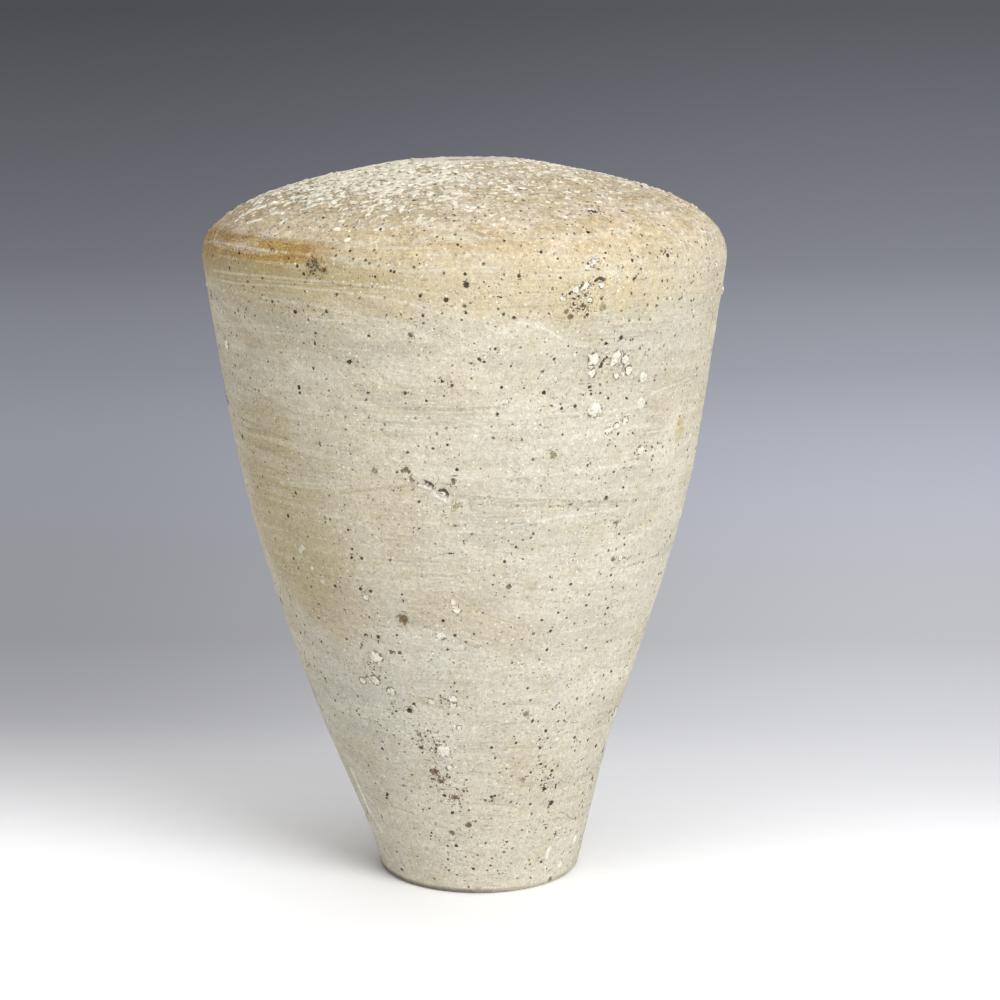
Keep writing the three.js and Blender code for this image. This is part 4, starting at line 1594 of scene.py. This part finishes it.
def backdrop():
    """A sheet of paper that runs back as a pale floor and turns up into a wall, painted grey with shade."""
    flat = np.linspace((PAPER_FRONT, 0), (PAPER_BACK, 0), 12)
    turn = np.linspace(0, math.pi / 2, 24)[1:]
    bend = np.column_stack([PAPER_BACK + PAPER_BEND * np.sin(turn), PAPER_BEND * (1 - np.cos(turn))])
    wall = np.linspace(bend[-1], (PAPER_BACK + PAPER_BEND, PAPER_HEIGHT), 8)[1:]
    line = np.vstack([flat, bend, wall])
    places = [(side * PAPER_REACH, y, z) for y, z in line for side in (-1, 1)]
    faces = [(2 * i, 2 * i + 1, 2 * i + 3, 2 * i + 2) for i in range(len(line) - 1)]
    mesh = bpy.data.meshes.new("backdrop")
    mesh.from_pydata(places, [], faces)
    mesh.polygons.foreach_set("use_smooth", [True] * len(faces))
    mesh.materials.append(backdrop_paper())
    sweep = in_scene("backdrop", mesh)


def backdrop_paper():
    """White paper that takes the jar's shadow near by, and behind it glows to the camera with a painted fall
    of shade, with painted shade on its left and painted light on its right.
    """
    made, w = material("backdrop_paper")
    at = w.split(w.add("ShaderNodeTexCoord").outputs["Object"])
    back = w.plus(at["Y"], w.times(at["Z"], 2.0))
    nearest = PAPER_SHADE_TONES[0][0]
    farthest = PAPER_SHADE_TONES[-1][0]
    # Painted shade: the paper's grey falls off with its distance behind the jar
    tones = w.add("ShaderNodeValToRGB", {0: w.math("DIVIDE", w.plus(back, -nearest), farthest - nearest)})
    stops = tones.color_ramp.elements
    while len(stops) < len(PAPER_SHADE_TONES):
        stops.new(0.5)
    for stop, (distance, grey) in zip(stops, PAPER_SHADE_TONES):
        stop.position = (distance - nearest) / (farthest - nearest)
        stop.color = colour(grey, grey, grey)
    # Painted shade on the left of the paper and painted light on its right
    across = w.math("DIVIDE", at["X"], w.plus(at["Y"], -CAMERA_PLACE.y))
    left = w.ramp(back, *DEEP_FALL, *PAPER_LEFT_SHADE)
    right = w.ramp(back, *DEEP_FALL, *PAPER_RIGHT_LIGHT)
    side = w.grey(w.ramp(across, -PAPER_SLOPE, PAPER_SLOPE, left, right))
    tint = w.blend(w.ramp(back, *TINT_FALL), PAPER_NEAR_TINT, PAPER_FAR_TINT)
    side = w.blend(1.0, side, tint, "MULTIPLY")
    painted_glow = w.blend(w.ramp(back, *SIDE_SHADE_FALL), colour(1.0, 1.0, 1.0), side)
    painted_glow = w.blend(1.0, tones.outputs["Color"], painted_glow, "MULTIPLY")
    seen = w.add("ShaderNodeLightPath").outputs
    shown = w.math("MAXIMUM", seen["Is Glossy Ray"], seen["Is Transmission Ray"])
    shown = w.math("MAXIMUM", seen["Is Camera Ray"], shown)
    # The floor that the camera sees darkens behind the jar with painted shade
    white = w.blend(w.ramp(back, *FLOOR_SHADE_FALL), FLOOR_NEAR, FLOOR_FAR_SHADED)
    white = w.blend(shown, FLOOR_PLAIN, white)
    plain = w.add("ShaderNodeBsdfDiffuse", {"Color": white}).outputs[0]
    # The painted greys glow for the camera and in reflections, standing in for light and shade
    painted_light = w.add("ShaderNodeEmission", {"Color": painted_glow}).outputs[0]
    share = w.times(shown, w.ramp(back, *PAINTED_GLOW_FALL))
    mixed = w.add("ShaderNodeMixShader", {0: share, 1: plain, 2: painted_light}).outputs[0]
    w.add("ShaderNodeOutputMaterial", {"Surface": mixed})
    return made


LAMP_TARGET = Vector((0.0, 0.0, 0.13))


def lamp(name, place, size, power, tint=(1.0, 1.0, 1.0)):
    data = bpy.data.lights.new(name, "AREA")
    data.shape = "DISK"
    data.size = size
    data.energy = power
    data.color = tint
    light = in_scene(name, data)
    light.location = place
    light.rotation_euler = (LAMP_TARGET - Vector(place)).to_track_quat("-Z", "Y").to_euler()


def studio_light():
    lamp("key", (1.12, -1.36, 1.15), 1.1, 26.0, (0.99, 1.0, 1.02))
    lamp("low", (0.85, -1.4, 0.12), 0.8, 7.2)
    lamp("fill", (-1.5, -1.2, 0.6), 1.4, 7.7, (1.0, 0.98, 0.93))
    lamp("top", (0.0, 0.2, 2.0), 1.6, 15.0)
    world = bpy.data.worlds.new("studio")
    world.use_nodes = True
    sky = world.node_tree.nodes["Background"]
    sky.inputs["Color"].default_value = (0.97, 0.98, 1.0, 1.0)
    sky.inputs["Strength"].default_value = 0.17
    bpy.context.scene.world = world


# Pieces


def dressed(piece, body, node):
    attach(piece, body)
    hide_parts(node)
    return piece


def vessel(tree, marks):
    clay = stoneware()
    common = {
        "Marks": marks,
        "Clay": clay,
        "Ring depth": RING_DEPTH,
        "Wobble": CLAY_WOBBLE,
        "Grit": CLAY_GRIT,
        "Crust": 0.0,
    }
    lower = made_by(tree, "foot_and_lower_wall", lower_profile(), {**common, "Columns": LOWER_COLUMNS})
    dressed(lower, "jar", "lower_body")
    upper = made_by(tree, "upper_wall", upper_profile(), {**common, "Columns": UPPER_COLUMNS})
    dressed(upper, "jar", "upper_body")
    crusted = {**common, "Crust": ASH_CRUST}
    dome = made_by(tree, "dome", dome_profile(), {**crusted, "Columns": DOME_COLUMNS})
    dressed(dome, "jar", "shoulder_dome")
    ring = made_by(tree, "lip_ring", ring_profile(), {**crusted, "Columns": RING_COLUMNS})
    dressed(ring, "jar", "mouth_ring")

    crust = made_by(crust_tree(), "crust", crust_points(), {"Seed": CRUST_SEED, "Grit": grit()})
    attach(crust, "jar")
    scatter = flake_tree()
    for carrier, seed in ((dome, 1), (ring, 2)):
        values = {"Density": FLAKE_DENSITY, "Size": FLAKE_SIZE, "Seed": seed, "Ash": ash()}
        flakes = made_by(scatter, "ash_on_" + carrier.name, carrier.data.copy(), values)
        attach(flakes, "jar")


def closure(tree, marks):
    common = {"Marks": marks, "Ring depth": 0.0, "Crust": 0.0, "Columns": CLOSURE_COLUMNS}
    wood = {**common, "Clay": plug_wood(), "Wobble": WOOD_WOBBLE, "Grit": WOOD_GRIT}
    dressed(made_by(tree, "wooden_plug", plug_profile(), wood), "plug", "mouth_plug")
    putty = {**common, "Clay": lime_putty(), "Wobble": PUTTY_WOBBLE, "Grit": PUTTY_GRIT}
    dressed(made_by(tree, "putty_seal", putty_profile(), putty), "plug", "plug_putty")


bpy.context.scene.view_settings.view_transform = "Standard"
camera()
section_tree = thrown_tree()
clay_marks = mark_points()
vessel(section_tree, clay_marks)
closure(section_tree, clay_marks)
bpy.data.objects.remove(clay_marks)
backdrop()
studio_light()
